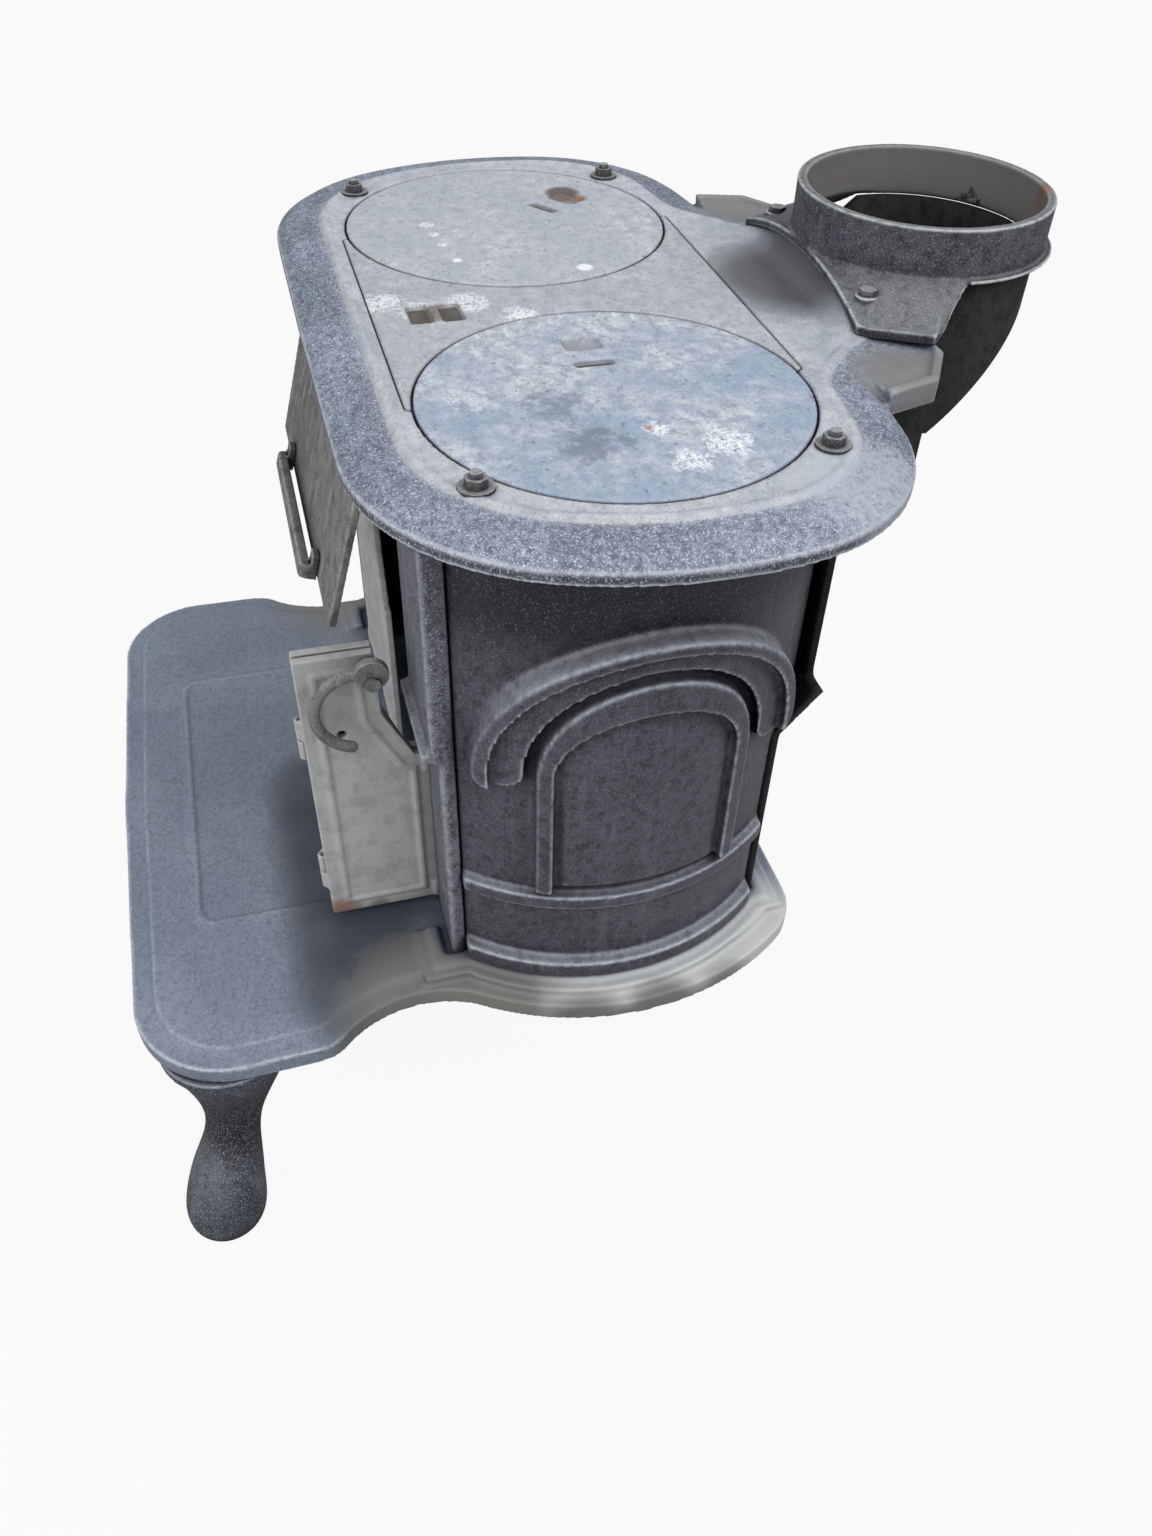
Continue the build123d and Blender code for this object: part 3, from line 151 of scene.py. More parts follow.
# One finish function for all the iron, fed from a dictionary for each look
# In each look, creaseShade is the share of painted shade in corners and creases
ironLooks = {
    "panel": {
        "base": (0.068, 0.069, 0.082), "tint": (0.120, 0.122, 0.140), "tintShare": 0.5,
        "deep": (0.006, 0.006, 0.009), "contrast": 0.55, "mottleScale": 170,
        "fleck": (0.55, 0.57, 0.62), "grainLight": 0.22, "grainDark": 0.5, "fleckShare": 0.6,
        "wear": (0.50, 0.515, 0.55), "wearShare": 0.9, "shine": 0.30, "creaseShade": 0.96, "upDust": 0.9,
        "dust": (0.36, 0.37, 0.40), "streak": 0.10, "rough": (0.30, 0.55), "grain": 0.5,
        # The band keys paint shade under the top plate's overhang
        "bandLow": (0.425, 0.470), "bandHigh": (0.520, 0.540), "bandShare": 0.75,
    },
    "column": {
        "base": (0.100, 0.101, 0.120), "tint": (0.22, 0.225, 0.25), "tintShare": 0.5,
        "deep": (0.018, 0.018, 0.024), "contrast": 0.75, "mottleScale": 190,
        "fleck": (0.72, 0.74, 0.80), "grainLight": 0.55, "grainDark": 0.6, "fleckShare": 0.85,
        "wear": (0.50, 0.51, 0.55), "wearShare": 0.85, "shine": 0.30, "creaseShade": 0.92, "upDust": 0.5,
        "dust": (0.38, 0.39, 0.41), "streak": 0.25, "rough": (0.40, 0.65), "grain": 0.55,
    },
    "hearth": {
        "base": (0.165, 0.198, 0.250), "tint": (0.245, 0.275, 0.330), "tintShare": 0.6,
        "deep": (0.060, 0.072, 0.098), "contrast": 0.45, "mottleScale": 320,
        "fleck": (0.55, 0.58, 0.63), "grainLight": 0.30, "grainDark": 0.45, "fleckShare": 0.65,
        "wear": (0.52, 0.55, 0.60), "wearShare": 0.85, "shine": 0.40, "creaseShade": 0.85, "upDust": 0.0,
        "dust": (0.36, 0.36, 0.35), "streak": 0.0, "rough": (0.35, 0.60), "grain": 0.4,
    },
    "door": {
        "base": (0.45, 0.445, 0.435), "tint": (0.50, 0.495, 0.48), "tintShare": 0.5,
        "deep": (0.20, 0.195, 0.19), "contrast": 0.4, "mottleScale": 80,
        "fleck": (0.70, 0.70, 0.70), "grainLight": 0.2, "grainDark": 0.35, "fleckShare": 0.4,
        "wear": (0.58, 0.58, 0.58), "wearShare": 0.45, "shine": 0.20, "creaseShade": 0.85, "upDust": 0.0,
        "dust": (0.48, 0.48, 0.47), "streak": 0.25, "rough": (0.6, 0.8), "grain": 0.3,
    },
    "hood": {
        "base": (0.150, 0.146, 0.140), "tint": (0.25, 0.245, 0.236), "tintShare": 0.6,
        "deep": (0.045, 0.044, 0.042), "contrast": 0.65, "mottleScale": 110,
        "fleck": (0.62, 0.62, 0.62), "grainLight": 0.35, "grainDark": 0.55, "fleckShare": 0.55,
        "wear": (0.46, 0.45, 0.44), "wearShare": 0.6, "shine": 0.20, "creaseShade": 0.92, "upDust": 0.2,
        "dust": (0.42, 0.42, 0.41), "streak": 0.5, "rough": (0.6, 0.8), "grain": 0.45,
    },
    "leg": {
        "base": (0.042, 0.046, 0.058), "tint": (0.080, 0.086, 0.105), "tintShare": 0.5,
        "deep": (0.012, 0.012, 0.016), "contrast": 0.8, "mottleScale": 120,
        "fleck": (0.66, 0.68, 0.72), "grainLight": 0.5, "grainDark": 0.6, "fleckShare": 0.85,
        "wear": (0.42, 0.44, 0.48), "wearShare": 0.6, "shine": 0.28, "creaseShade": 0.9, "upDust": 0.4,
        "dust": (0.34, 0.35, 0.38), "streak": 0.2, "rough": (0.45, 0.75), "grain": 0.9,
        "bandLow": (0.060, 0.090), "bandHigh": (0.125, 0.160), "bandShare": 0.97,
    },
    "collar": {
        "base": (0.065, 0.066, 0.078), "tint": (0.125, 0.126, 0.138), "tintShare": 0.5,
        "deep": (0.014, 0.014, 0.018), "contrast": 0.7, "mottleScale": 150,
        "fleck": (0.55, 0.56, 0.60), "grainLight": 0.4, "grainDark": 0.6, "fleckShare": 0.65,
        "wear": (0.58, 0.59, 0.60), "wearShare": 0.95, "shine": 0.25, "creaseShade": 0.85, "upDust": 0.5,
        "dust": (0.27, 0.275, 0.275), "streak": 0.1, "rough": (0.40, 0.70), "grain": 0.8,
    },
    "soot": {
        "base": (0.016, 0.0155, 0.0155), "tint": (0.032, 0.031, 0.030), "tintShare": 0.4,
        "deep": (0.006, 0.006, 0.006), "contrast": 0.5, "mottleScale": 120,
        "fleck": (0.22, 0.22, 0.22), "grainLight": 0.15, "grainDark": 0.4, "fleckShare": 0.3,
        "wear": (0.08, 0.08, 0.08), "wearShare": 0.4, "shine": 0.05, "creaseShade": 0.6, "upDust": 0.1,
        "dust": (0.09, 0.088, 0.082), "streak": 0.1, "rough": (0.75, 0.9), "grain": 0.5,
    },
    "steel": {
        "base": (0.13, 0.13, 0.135), "tint": (0.20, 0.19, 0.18), "tintShare": 0.5,
        "deep": (0.025, 0.025, 0.027), "contrast": 0.6, "mottleScale": 260,
        "fleck": (0.7, 0.7, 0.72), "grainLight": 0.45, "grainDark": 0.5, "fleckShare": 0.6,
        "wear": (0.45, 0.45, 0.46), "wearShare": 0.0, "shine": 0.50, "creaseShade": 0.9, "upDust": 0.6,
        "dust": (0.40, 0.40, 0.40), "streak": 0.0, "rough": (0.35, 0.60), "grain": 0.45,
    },
}


def newMaterial(name):
    material = bpy.data.materials.new(name)
    material.use_nodes = True
    tree = material.node_tree
    shader = tree.nodes["Principled BSDF"]
    shader.inputs["Metallic"].default_value = 0.0
    return material, tree, shader


def paintSpots(tree, coords, colour, spots):
    for spot in spots:
        ragged = noise(tree, coords, spot.get("scale", 90), 5.0, 0.7)
        zone = nearPlace(tree, coords, spot["place"], spot["inner"], spot["outer"])
        both = weighed(tree, zone, 0.55, ragged, 0.75)
        mask = between(tree, both, spot.get("low", 0.62), spot.get("high", 0.78))
        mask = times(tree, mask, zone)
        if spot.get("fine"):
            speckle = noise(tree, coords, 520, 4.0, 0.8)
            mask = times(tree, mask, between(tree, speckle, 0.42, 0.56))
        colour = blendColour(tree, times(tree, mask, spot.get("share", 0.9)), colour, spot["colour"])
    return colour


def creaseShadeMask(tree, reach=0.020):
    # Painted shade for corners and creases: 1 deep in a corner, 0 in the open
    node = addNode(tree, "ShaderNodeAmbientOcclusion", samples=6)
    node.inputs["Distance"].default_value = reach
    return between(tree, node.outputs["AO"], 0.95, 0.40, 0.0, 1.0)


def facingUp(tree, low, high):
    geometry = addNode(tree, "ShaderNodeNewGeometry")
    return between(tree, heightOf(tree, geometry.outputs["Normal"]), low, high)


def wornEdge(tree, low, high, top):
    geometry = addNode(tree, "ShaderNodeNewGeometry")
    return between(tree, geometry.outputs["Pointiness"], low, high, 0.0, top)


def castGrain(tree, coords, colour, look):
    # Fine salt-and-pepper grain and a few larger flecks, on any finish
    grain = grainNoise(tree, coords)
    fleck = noise(tree, coords, 330, 4.0, 0.8)
    colour = layer(tree, colour, look["deep"], grain, 0.46, 0.30, look["grainDark"])
    colour = layer(tree, colour, look["fleck"], grain, 0.54, 0.68, look["grainLight"])
    return layer(tree, colour, look["fleck"], fleck, 0.68, 0.73, look["fleckShare"])


def castBump(tree, shader, coords, strength, depth=0.0007):
    coarse = noise(tree, coords, 160, 6.0, 0.7)
    grain = grainNoise(tree, coords)
    bump = addNode(tree, "ShaderNodeBump")
    bump.inputs["Strength"].default_value = strength
    bump.inputs["Distance"].default_value = depth
    level = weighed(tree, coarse, 0.6, grain, 0.4)
    tree.links.new(level, bump.inputs["Height"])
    tree.links.new(bump.outputs["Normal"], shader.inputs["Normal"])


def ironFinish(name, look, spots=(), soft=True):
    material, tree, shader = newMaterial(name)
    coords = objectCoords(tree)
    broad = noise(tree, coords, 11, 4.0, 0.6, 0.4)
    mottle = noise(tree, coords, look["mottleScale"], 8.0, 0.72)
    colour = layer(tree, look["base"], look["tint"], broad, 0.35, 0.65, look["tintShare"])
    colour = layer(tree, colour, look["deep"], mottle, 0.56, 0.36, look["contrast"])
    if look["streak"]:
        run = noise(tree, objectCoords(tree, (85, 85, 7)), 1.0, 5.0, 0.65)
        colour = layer(tree, colour, look["dust"], run, 0.52, 0.70, look["streak"])
    # A darker band between two heights: on the side panels this is painted shade under the top plate's
    # overhang; on the legs it darkens the ankle
    if "bandShare" in look:
        height = heightOf(tree, coords)
        lift = between(tree, height, *look["bandLow"], 0.0, look["bandShare"])
        band = times(tree, lift, between(tree, height, *look["bandHigh"], 1.0, 0.0))
        colour = blendColour(tree, band, colour, look["deep"])
    if look["upDust"]:
        thin = between(tree, mottle, 0.30, 0.60, 0.5, 1.0)
        up = times(tree, times(tree, facingUp(tree, 0.15, 0.85), look["upDust"]), thin)
        colour = blendColour(tree, up, colour, look["dust"])
    colour = castGrain(tree, coords, colour, look)
    if soft:
        edge = wornEdge(tree, 0.508, 0.56, look["wearShare"])
        worn = times(tree, edge, between(tree, mottle, 0.3, 0.6, 0.35, 1.0))
        colour = blendColour(tree, worn, colour, look["wear"])
    colour = paintSpots(tree, coords, colour, spots)
    # Painted shade darkens corners and creases, and the shine fades there
    creaseShade = creaseShadeMask(tree)
    colour = blendColour(tree, times(tree, creaseShade, look["creaseShade"]), colour, look["deep"])
    shine = between(tree, creaseShade, 0.0, 0.7, look["shine"], 0.0)
    tree.links.new(shine, shader.inputs["Specular IOR Level"])
    tree.links.new(colour, shader.inputs["Base Color"])
    low, high = look["rough"]
    tree.links.new(between(tree, mottle, 0.3, 0.7, low, high), shader.inputs["Roughness"])
    castBump(tree, shader, coords, look["grain"])
    return material


def paint(obj, material):
    obj.data.materials.clear()
    obj.data.materials.append(material)


# A soft-edged casting made from a copy of a CAD node
def softCasting(nodeName, pieceName, cell, rounds, material, body):
    source = nodes[nodeName]
    mesh = source.data.copy()
    work = bmesh.new()
    work.from_mesh(mesh)
    bmesh.ops.remove_doubles(work, verts=work.verts, dist=mergeReach)
    if nodeName == "hearth_base":
        # The skin over the blind bolt holes is thinner than a cell, so their ends go lower
        for vert in work.verts:
            if abs(vert.co.z - hearthTop + boltHoleSkin) < sameLevel:
                vert.co.z = hearthTop - safeSkin
    work.to_mesh(mesh)
    work.free()
    piece = bpy.data.objects.new(pieceName, mesh)
    bpy.context.scene.collection.objects.link(piece)
    remesh = piece.modifiers.new("cell", "REMESH")
    remesh.mode = "VOXEL"
    remesh.voxel_size = cell
    remesh.use_smooth_shade = True
    if rounds:
        ease = piece.modifiers.new("ease", "SMOOTH")
        ease.factor = 0.5
        ease.iterations = rounds
    bpy.context.view_layer.update()
    dense = piece.evaluated_get(bpy.context.evaluated_depsgraph_get())
    triangles = sum(len(polygon.vertices) - 2 for polygon in dense.data.polygons)
    if triangles > triangleLimit:
        thin = piece.modifiers.new("thin", "DECIMATE")
        thin.ratio = triangleLimit / triangles
        bpy.context.view_layer.update()
    shape = bpy.data.meshes.new_from_object(piece.evaluated_get(bpy.context.evaluated_depsgraph_get()))
    piece.modifiers.clear()
    piece.data = shape
    piece.data.name = pieceName
    for polygon in shape.polygons:
        polygon.use_smooth = True
    paint(piece, material)
    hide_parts(nodeName)
    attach(piece, body)
    return piece


# Top plate: light worn flats inside a dark speckled rim
plateLook = {
    "flat": (0.37, 0.385, 0.405), "flatPale": (0.51, 0.52, 0.53), "bloom": (0.31, 0.35, 0.41),
    "rim": (0.105, 0.122, 0.175), "rimPale": (0.28, 0.315, 0.385), "deep": (0.022, 0.027, 0.045),
    "fleck": (0.86, 0.89, 0.94), "wear": (0.68, 0.71, 0.76), "grainLight": 0.75, "grainDark": 0.6,
    "fleckShare": 0.85, "skirtShadeShare": 0.85,
}


def plateFinish(name, look, spots=()):
    material, tree, shader = newMaterial(name)
    coords = objectCoords(tree)
    broad = noise(tree, coords, 9, 4.0, 0.6, 0.5)
    mottle = noise(tree, coords, 120, 8.0, 0.72)
    grain = grainNoise(tree, coords)
    flat = between(tree, heightOf(tree, coords), plateLevels["rim"], plateLevels["flat"])

    flatColour = layer(tree, look["flat"], look["flatPale"], mottle, 0.35, 0.62, 1.0)
    flatColour = layer(tree, flatColour, look["bloom"], broad, 0.45, 0.68, 0.5)
    flatColour = layer(tree, flatColour, look["deep"], grain, 0.45, 0.32, 0.6)
    flatColour = layer(tree, flatColour, look["fleck"], grain, 0.60, 0.70, 0.45)

    fine = noise(tree, coords, 240, 8.0, 0.75)
    rimColour = layer(tree, look["rim"], look["rimPale"], fine, 0.38, 0.62, 1.0)
    rimColour = layer(tree, rimColour, look["deep"], broad, 0.35, 0.6, 0.0, 0.4)
    # Painted shade on the rim's upright skirt under the lip, darker towards its bottom
    height = heightOf(tree, coords)
    skirt = (plateLevels["skirt"], plateLevels["skirtFull"], look["skirtShadeShare"])
    rimColour = layer(tree, rimColour, look["deep"], height, *skirt)
    rimColour = castGrain(tree, coords, rimColour, look)
    edge = wornEdge(tree, 0.506, 0.545, 0.9)
    worn = times(tree, edge, between(tree, mottle, 0.3, 0.55, 0.5, 1.0))
    rimColour = blendColour(tree, worn, rimColour, look["wear"])
    colour = blendColour(tree, flat, rimColour, flatColour)
    colour = paintSpots(tree, coords, colour, spots)
    # Painted shade in corners and creases
    creaseShade = times(tree, creaseShadeMask(tree, 0.006), 0.85)
    colour = blendColour(tree, creaseShade, colour, look["deep"])
    tree.links.new(colour, shader.inputs["Base Color"])
    tree.links.new(between(tree, mottle, 0.3, 0.7, 0.34, 0.58), shader.inputs["Roughness"])
    castBump(tree, shader, coords, 0.4, 0.0005)
    return material


# Lids and loose plate: scuffed flats with blue-grey bloom, white scuffs and a little rust
def lidFinish(name, look, spots=()):
    material, tree, shader = newMaterial(name)
    coords = objectCoords(tree)
    broad = noise(tree, coords, 13, 5.0, 0.62, 0.7)
    mottle = noise(tree, coords, 115, 8.0, 0.72)
    grain = grainNoise(tree, coords)
    drag = noise(tree, objectCoords(tree, (70, 230, 70)), 1.0, 6.0, 0.7)
    colour = layer(tree, look["base"], look["pale"], mottle, 0.34, 0.62, 1.0)
    colour = layer(tree, colour, look["bloom"], broad, 0.42, 0.62, look["bloomShare"])
    marks = weighed(tree, drag, 0.55, mottle, 0.45)
    zone = between(tree, broad, 0.50, 0.40, 0.0, look["scuffShare"])
    colour = blendColour(tree, times(tree, between(tree, marks, 0.52, 0.60), zone), colour, look["scuff"])
    pits = noise(tree, coords, 260, 6.0, 0.8)
    colour = layer(tree, colour, look["deep"], pits, 0.44, 0.34, 0.75)
    colour = layer(tree, colour, look["deep"], grain, 0.44, 0.30, 0.6)
    colour = layer(tree, colour, look["scuff"], grain, 0.60, 0.70, 0.6)
    colour = paintSpots(tree, coords, colour, spots)
    # Painted shade in the sunk pockets and the lifter slot, darker with depth; the far lid's and loose
    # plate's pocket colours and the loose plate's slot colour also carry rust brown
    height = heightOf(tree, coords)
    pocket = (plateLevels["pocket"], plateLevels["pocketFull"], 0.55)
    colour = layer(tree, colour, look["pocket"], height, *pocket)
    slot = (plateLevels["slot"], plateLevels["slotFull"], look["slotShadeShare"])
    colour = layer(tree, colour, look["hole"], height, *slot)
    # Painted shade in corners and creases, in the darkest lid colour
    creaseShade = times(tree, creaseShadeMask(tree, 0.004), 0.8)
    colour = blendColour(tree, creaseShade, colour, look["hole"])
    tree.links.new(colour, shader.inputs["Base Color"])
    tree.links.new(between(tree, mottle, 0.3, 0.7, 0.34, 0.58), shader.inputs["Roughness"])
    castBump(tree, shader, coords, 0.35, 0.0005)
    return material


# pocket and hole are painted shade colours for the sunk pockets and slots, with rust brown in some
lidLooks = {
    "near": {
        "base": (0.29, 0.325, 0.38), "pale": (0.53, 0.555, 0.59),
        "bloom": (0.25, 0.32, 0.43), "bloomShare": 0.75,
        "scuff": (0.86, 0.88, 0.90), "scuffShare": 0.45, "deep": (0.10, 0.11, 0.14),
        "pocket": (0.20, 0.19, 0.18), "hole": (0.012, 0.012, 0.012), "slotShadeShare": 1.0,
    },
    "far": {
        "base": (0.37, 0.39, 0.415), "pale": (0.51, 0.52, 0.54),
        "bloom": (0.35, 0.385, 0.44), "bloomShare": 0.5,
        "scuff": (0.84, 0.86, 0.88), "scuffShare": 0.25, "deep": (0.13, 0.135, 0.15),
        "pocket": (0.20, 0.15, 0.12), "hole": (0.012, 0.012, 0.012), "slotShadeShare": 1.0,
    },
    "loose": {
        "base": (0.34, 0.352, 0.37), "pale": (0.46, 0.47, 0.48),
        "bloom": (0.33, 0.355, 0.39), "bloomShare": 0.4,
        "scuff": (0.84, 0.85, 0.86), "scuffShare": 0.3, "deep": (0.12, 0.125, 0.135),
        "pocket": (0.17, 0.14, 0.12), "hole": (0.045, 0.036, 0.030), "slotShadeShare": 0.85,
    },
}


def spot(x, y, z, inner, outer, colour, **more):
    return {"place": (x, y + lidLine, z), "inner": inner, "outer": outer, "colour": colour, **more}


# Colours of the spots
rust = (0.26, 0.105, 0.045)
rustBrown = (0.12, 0.065, 0.040)
collarBrown = (0.20, 0.185, 0.178)
rustDark = (0.075, 0.040, 0.028)
lidShade = (0.135, 0.165, 0.22)
chalk = (0.86, 0.87, 0.88)
dustBrown = (0.19, 0.182, 0.165)
dustPale = (0.56, 0.56, 0.55)
hearthSkirtShade = (0.08, 0.079, 0.077)
# Painted shadow colour for the hearth in front of the doors
shade = (0.040, 0.045, 0.060)
earShade = (0.19, 0.187, 0.18)
hollowShade = (0.075, 0.075, 0.078)
rimPalePatch = (0.42, 0.45, 0.51)
pitBlack = (0.02, 0.02, 0.02)

plateIron = plateFinish("plateIron", plateLook, [
    # Painted shade in the ear hollows beside the collar and in the hollow in front of the collar
    spot(
        side * 0.128, 0.163, plateTop, 0.020, 0.046, earShade,
        low=0.40, high=0.70, share=0.9,
    )
    for side in (1, -1)
] + [
    spot(0, 0.150, plateTop, 0.030, 0.078, hollowShade, low=0.30, high=0.60, share=0.92),
    # A paler blue-grey patch on the near rim
    spot(
        0.225, 0.090, plateTop, 0.020, 0.085, rimPalePatch,
        low=0.70, high=0.98, share=0.7, scale=300,
    ),
])
rightLidIron = lidFinish("rightLidIron", lidLooks["near"], [
    spot(0.180, 0.040, plateTop, 0.002, 0.034, chalk, low=0.74, high=0.84, scale=130, fine=True),
    spot(0.192, 0.016, plateTop, 0.002, 0.026, chalk, low=0.76, high=0.86, scale=130, fine=True),
    spot(0.160, 0.010, plateTop, 0.001, 0.020, chalk, low=0.78, high=0.88, scale=130, fine=True),
    spot(
        0.112, -0.072, plateTop, 0.002, 0.050, chalk,
        low=0.82, high=0.94, scale=120, share=0.45, fine=True,
    ),
    spot(0.165, -0.025, plateTop, 0.005, 0.060, lidShade, low=0.78, high=0.94, scale=110, share=0.75),
    spot(0.125, -0.035, plateTop, 0.005, 0.055, lidShade, low=0.80, high=0.96, scale=110, share=0.6),
    spot(0.158, 0.006, plateTop, 0.001, 0.004, rust, low=0.40, high=0.60, share=0.7),
])
leftLidIron = lidFinish("leftLidIron", lidLooks["far"], [
    spot(-0.168, 0.050, plateTop, 0.007, 0.017, rustDark, low=0.55, high=0.70, scale=260),
    spot(-0.156, 0.058, plateTop, 0.002, 0.012, rust, low=0.60, high=0.78, scale=260),
    spot(-0.127, -0.051, plateTop, 0.002, 0.009, chalk, low=0.62, high=0.80, scale=300, fine=True),
    spot(-0.110, -0.049, plateTop, 0.001, 0.008, chalk, low=0.62, high=0.80, scale=300, fine=True),
    spot(-0.092, -0.047, plateTop, 0.001, 0.007, chalk, low=0.62, high=0.80, scale=300, fine=True),
    spot(-0.066, -0.043, plateTop, 0.001, 0.006, chalk, low=0.60, high=0.78, scale=300),
    spot(-0.040, 0.030, plateTop, 0.003, 0.008, chalk, low=0.60, high=0.80, scale=300),
])
loosePlateIron = lidFinish("loosePlateIron", lidLooks["loose"], [
    spot(-0.014, -0.098, plateTop, 0.002, 0.034, chalk, low=0.70, high=0.84, scale=120, fine=True),
    spot(0.004, -0.074, plateTop, 0.002, 0.036, chalk, low=0.70, high=0.84, scale=120, fine=True),
    spot(-0.004, -0.050, plateTop, 0.002, 0.030, chalk, low=0.68, high=0.82, scale=120, fine=True),
    spot(0.018, -0.024, plateTop, 0.001, 0.026, chalk, low=0.70, high=0.84, scale=120, fine=True),
    spot(
        0.006, -0.070, plateTop - 0.003, 0.006, 0.020, rustBrown,
        low=0.66, high=0.78, scale=200, share=0.8,
    ),
])
panelIron = ironFinish("panelIron", ironLooks["panel"])
columnIron = ironFinish("columnIron", ironLooks["column"])
hearthIron = ironFinish("hearthIron", ironLooks["hearth"], [
    # Painted shadow on the hearth in front of the right doors
    spot(x, -0.165, hearthTop, 0.030, 0.062, shade, low=0.30, high=0.50, scale=60, share=0.8)
    for x in (0.020, 0.060, 0.105, 0.150, 0.195)
] + [
    spot(side * 0.225, y, hearthTop, 0.030, 0.085, dustBrown, low=0.34, high=0.56, scale=45, share=0.9)
    for side in (1, -1) for y in (-0.125, -0.065)
] + [
    spot(side * 0.235, y, hearthTop, 0.035, 0.080, dustPale, low=0.30, high=0.52, scale=45, share=0.9)
    for side in (1, -1) for y in (0.000, 0.065, 0.120)
] + [
    # Painted shade on the hearth's upright side skirt below its top edge
    spot(
        side * 0.262, y, hearthTop - 0.022, 0.022, 0.040, hearthSkirtShade,
        low=0.30, high=0.60, scale=90, share=0.8,
    )
    for side in (1, -1) for y in (-0.040, 0.010, 0.060, 0.105)
])
doorIron = ironFinish("doorIron", ironLooks["door"], [
    spot(
        0.138, -0.175, hearthTop + 0.006, 0.004, 0.022, rust,
        low=0.52, high=0.66, scale=140, share=0.8,
    ),
    spot(
        0.138, -0.150, hearthTop + 0.004, 0.002, 0.014, rustBrown,
        low=0.52, high=0.66, scale=140, share=0.8,
    ),
])
hoodIron = ironFinish("hoodIron", ironLooks["hood"])
legIron = ironFinish("legIron", ironLooks["leg"])
collarIron = ironFinish("collarIron", ironLooks["collar"], [
    spot(
        0, 0.225, plateTop + lift, 0.0700, 0.0735, collarBrown,
        low=0.10, high=0.30, scale=150, share=0.8,
    )
    for lift in (0.008, 0.022, 0.036)
] + [
    spot(
        -0.040, 0.282, plateTop + 0.020, 0.006, 0.022, pitBlack,
        low=0.86, high=0.95, scale=260,
    ),
    spot(0.022, 0.296, plateTop + 0.043, 0.003, 0.022, rust, low=0.72, high=0.88, scale=260, share=0.7),
])
sootIron = ironFinish("sootIron", ironLooks["soot"])
boltSteel = ironFinish("boltSteel", ironLooks["steel"], soft=False)
print("finishes mixed")

castings = {
    "top_plate": ("topPlateCasting", 0.0014, 2, plateIron, "cast_iron", "stove"),
    "right_side_panel": ("rightPanelCasting", 0.0016, 7, panelIron, "cast_iron", "stove"),
    "left_side_panel": ("leftPanelCasting", 0.0016, 7, panelIron, "cast_iron", "stove"),
    "hearth_base": ("hearthCasting", 0.0017, 2, hearthIron, "cast_iron", "stove"),
    "front_frame": ("frontFrameCasting", 0.0018, 3, columnIron, "cast_iron", "stove"),
    "smoke_collar": ("collarCasting", 0.0009, 1, collarIron, "cast_iron", "stove"),
    "back_panel": ("backPanelCasting", 0.0020, 3, sootIron, "cast_iron", "stove"),
    "right_lid": ("rightLidCasting", 0.0012, 1, rightLidIron, "lid_iron", "right_cooking_lid"),
    "left_lid": ("leftLidCasting", 0.0012, 1, leftLidIron, "lid_iron", "left_cooking_lid"),
    "centre_plate": ("loosePlateCasting", 0.0013, 1, loosePlateIron, "lid_iron", "loose_plate"),
    "hood_flap": ("hoodCasting", 0.0013, 3, hoodIron, "dusty_iron", "hood"),
    "hood_pull_bar": ("pullBarCasting", 0.0008, 3, hoodIron, "dusty_iron", "hood"),
    "right_outer_door": ("rightOuterLeafCasting", 0.0010, 2, doorIron, "dusty_iron", "right_outer_leaf"),
    "right_inner_door": ("rightInnerLeafCasting", 0.0010, 2, doorIron, "dusty_iron", "right_inner_leaf"),
    "left_outer_door": ("leftOuterLeafCasting", 0.0010, 2, doorIron, "dusty_iron", "left_outer_leaf"),
    "left_inner_door": ("leftInnerLeafCasting", 0.0010, 2, doorIron, "dusty_iron", "left_inner_leaf"),
    "right_door_handle": ("handleCasting", 0.0006, 3, hoodIron, "dusty_iron", "right_outer_leaf"),
    "fire_grate": ("grateCasting", 0.0015, 3, sootIron, "sooty_iron", "stove"),
}
for leg in ("front_right_leg", "front_left_leg", "rear_right_leg", "rear_left_leg"):
    words = leg.split("_")
    castings[leg] = (words[0] + words[1].title() + "LegCasting", 0.0012, 4, legIron, "cast_iron", "stove")

# The rest keep their own meshes
plainFinishes = {"smoke_box": sootIron}

for nodeName, (pieceName, cell, rounds, material, slotName, body) in castings.items():
    casting = softCasting(nodeName, pieceName, cell, rounds, material, body)
    print("cast", pieceName, len(casting.data.polygons))
for nodeName, node in nodes.items():
    if nodeName not in castings:
        paint(node, plainFinishes.get(nodeName, boltSteel))
print("pieces finished")

# Floor, light and camera
whiteColour = (1, 1, 1, 1)
studio = {
    "floorSize": 8.0,
    "floorShade": 0.35,
    "floorGlow": 0.92,
    "skyColour": (0.92, 0.955, 1.0),
    "skyLow": 0.16,
    "skyHigh": 1.15,
    "lampAim": (0, 0, 0.4),
}
lamps = {
    "backLamp": {"place": (0.9, 1.1, 1.7), "power": 16.0, "size": 1.4},
    "frontLamp": {"place": (0.9, -1.35, 0.95), "power": 12.0, "size": 1.3},
}

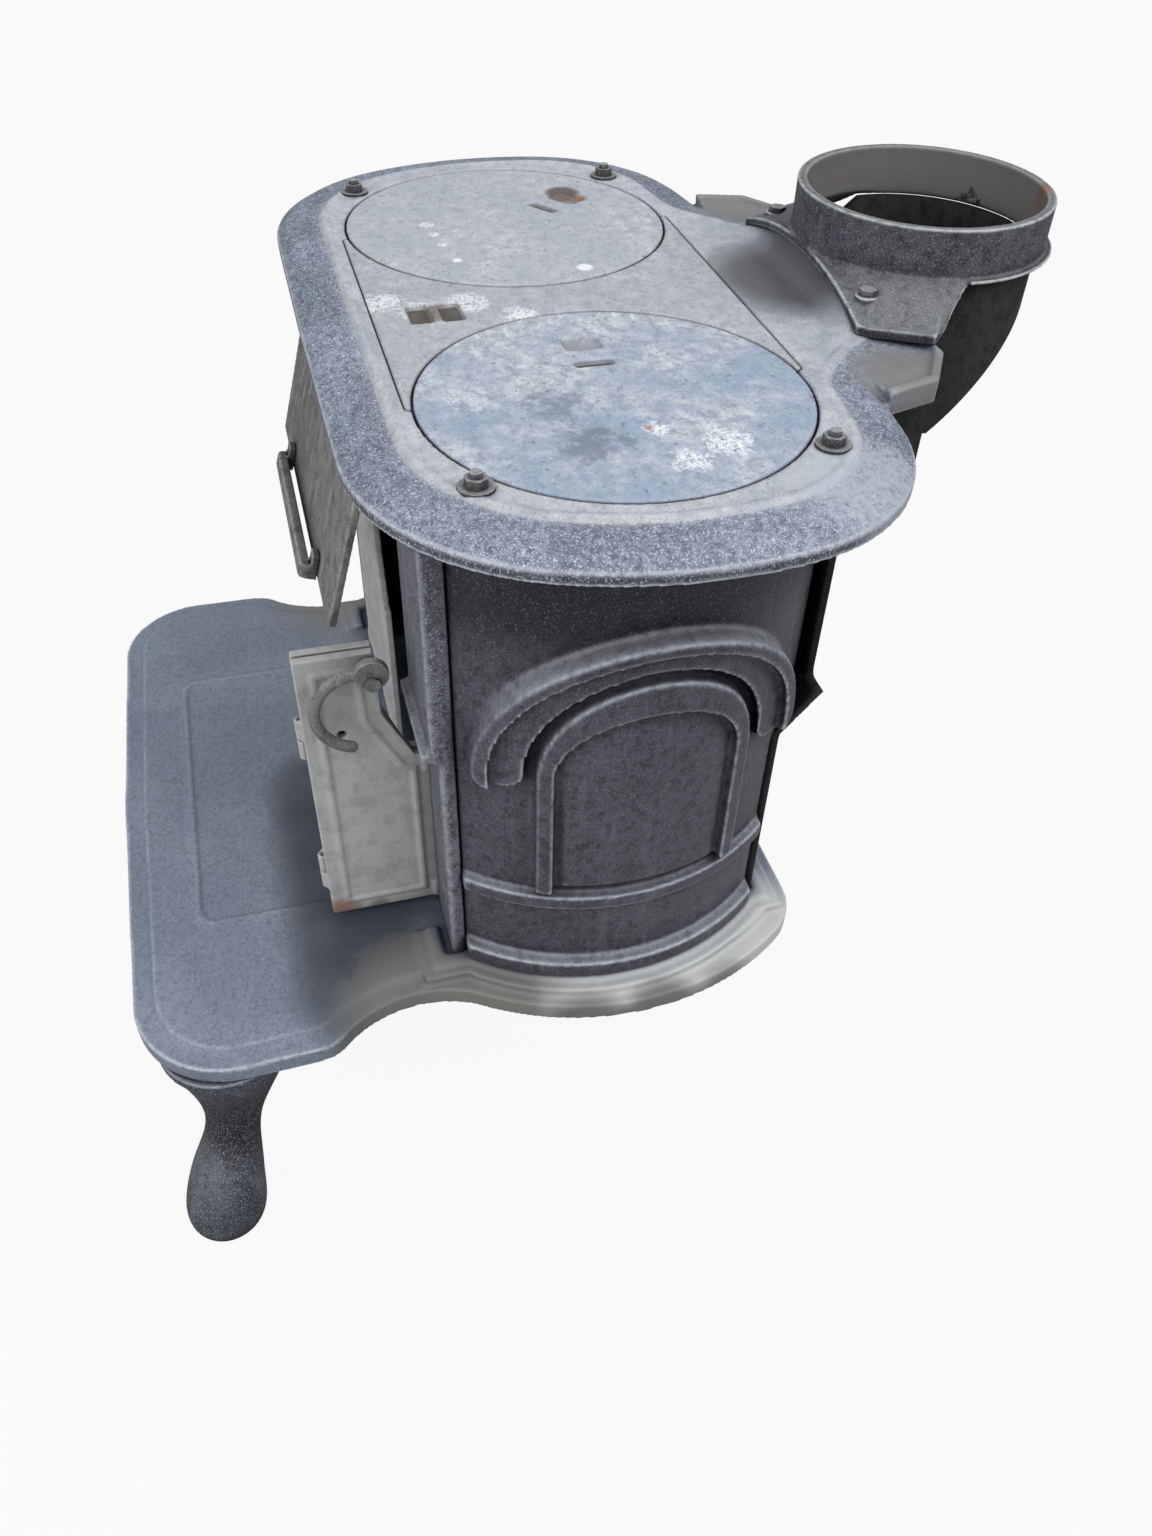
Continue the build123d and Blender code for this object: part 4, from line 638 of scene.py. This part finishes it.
floorMesh = bpy.data.meshes.new("studioFloor")
floorWork = bmesh.new()
bmesh.ops.create_grid(floorWork, x_segments=1, y_segments=1, size=studio["floorSize"])
floorWork.to_mesh(floorMesh)
floorWork.free()
floor = bpy.data.objects.new("studioFloor", floorMesh)
bpy.context.scene.collection.objects.link(floor)
floorMaterial, floorTree, floorShader = newMaterial("studioFloorPaint")
floorShader.inputs["Base Color"].default_value = (*[studio["floorShade"]] * 3, 1)
floorShader.inputs["Roughness"].default_value = 0.9
rays = addNode(floorTree, "ShaderNodeLightPath")
glow = addNode(floorTree, "ShaderNodeEmission", Strength=1.0)
glow.inputs["Color"].default_value = whiteColour
floorMix = addNode(floorTree, "ShaderNodeMixShader")
glowShare = times(floorTree, rays.outputs["Is Camera Ray"], studio["floorGlow"])
floorTree.links.new(glowShare, floorMix.inputs[0])
floorTree.links.new(floorShader.outputs["BSDF"], floorMix.inputs[1])
floorTree.links.new(glow.outputs["Emission"], floorMix.inputs[2])
floorTree.links.new(floorMix.outputs["Shader"], floorTree.nodes["Material Output"].inputs["Surface"])
paint(floor, floorMaterial)

world = bpy.data.worlds.new("studioSky")
bpy.context.scene.world = world
world.use_nodes = True
skyTree = world.node_tree
sky = skyTree.nodes["Background"]
sky.inputs["Color"].default_value = (*studio["skyColour"], 1)
skyHeight = heightOf(skyTree, addNode(skyTree, "ShaderNodeTexCoord").outputs["Generated"])
skyLevel = between(skyTree, skyHeight, 0.0, 1.0, studio["skyLow"], studio["skyHigh"])
skyTree.links.new(skyLevel, sky.inputs["Strength"])
backdrop = addNode(skyTree, "ShaderNodeBackground")
backdrop.inputs["Color"].default_value = whiteColour
backdrop.inputs["Strength"].default_value = 1.0
skyRays = addNode(skyTree, "ShaderNodeLightPath")
skyMix = addNode(skyTree, "ShaderNodeMixShader")
skyTree.links.new(skyRays.outputs["Is Camera Ray"], skyMix.inputs[0])
skyTree.links.new(sky.outputs["Background"], skyMix.inputs[1])
skyTree.links.new(backdrop.outputs["Background"], skyMix.inputs[2])
skyTree.links.new(skyMix.outputs["Shader"], skyTree.nodes["World Output"].inputs["Surface"])


def areaLamp(name, place, target, power, size):
    data = bpy.data.lights.new(name, "AREA")
    data.energy = power
    data.shape = "SQUARE"
    data.size = size
    lamp = bpy.data.objects.new(name, data)
    bpy.context.scene.collection.objects.link(lamp)
    lamp.location = place
    lamp.rotation_euler = (Vector(target) - Vector(place)).to_track_quat("-Z", "Y").to_euler()
    return lamp


for lampName, lamp in lamps.items():
    areaLamp(lampName, lamp["place"], studio["lampAim"], lamp["power"], lamp["size"])

viewpoint = {
    "place": (0.6661, -0.1751, 0.8144),
    "azimuth": 73.08,
    "elevation": 43.59,
    "roll": 2.07,
    "lens": 37.83,
}
cameraData = bpy.data.cameras.new("photoCamera")
cameraData.sensor_fit = "HORIZONTAL"
cameraData.sensor_width = 36.0
cameraData.lens = viewpoint["lens"]
cameraData.clip_start = 0.01
camera = bpy.data.objects.new("photoCamera", cameraData)
bpy.context.scene.collection.objects.link(camera)
turn, lift, roll = (math.radians(viewpoint[key]) for key in ("azimuth", "elevation", "roll"))
back = Vector((math.sin(turn) * math.cos(lift), -math.cos(turn) * math.cos(lift), math.sin(lift)))
right = Vector((math.cos(turn), math.sin(turn), 0))
up = back.cross(right)
rolledRight = right * math.cos(roll) + up * math.sin(roll)
rolledUp = up * math.cos(roll) - right * math.sin(roll)
turned = Matrix((rolledRight, rolledUp, back)).transposed().to_4x4()
camera.matrix_world = Matrix.Translation(viewpoint["place"]) @ turned
bpy.context.scene.camera = camera
bpy.context.scene.view_settings.view_transform = "Standard"
print("studio and camera set")
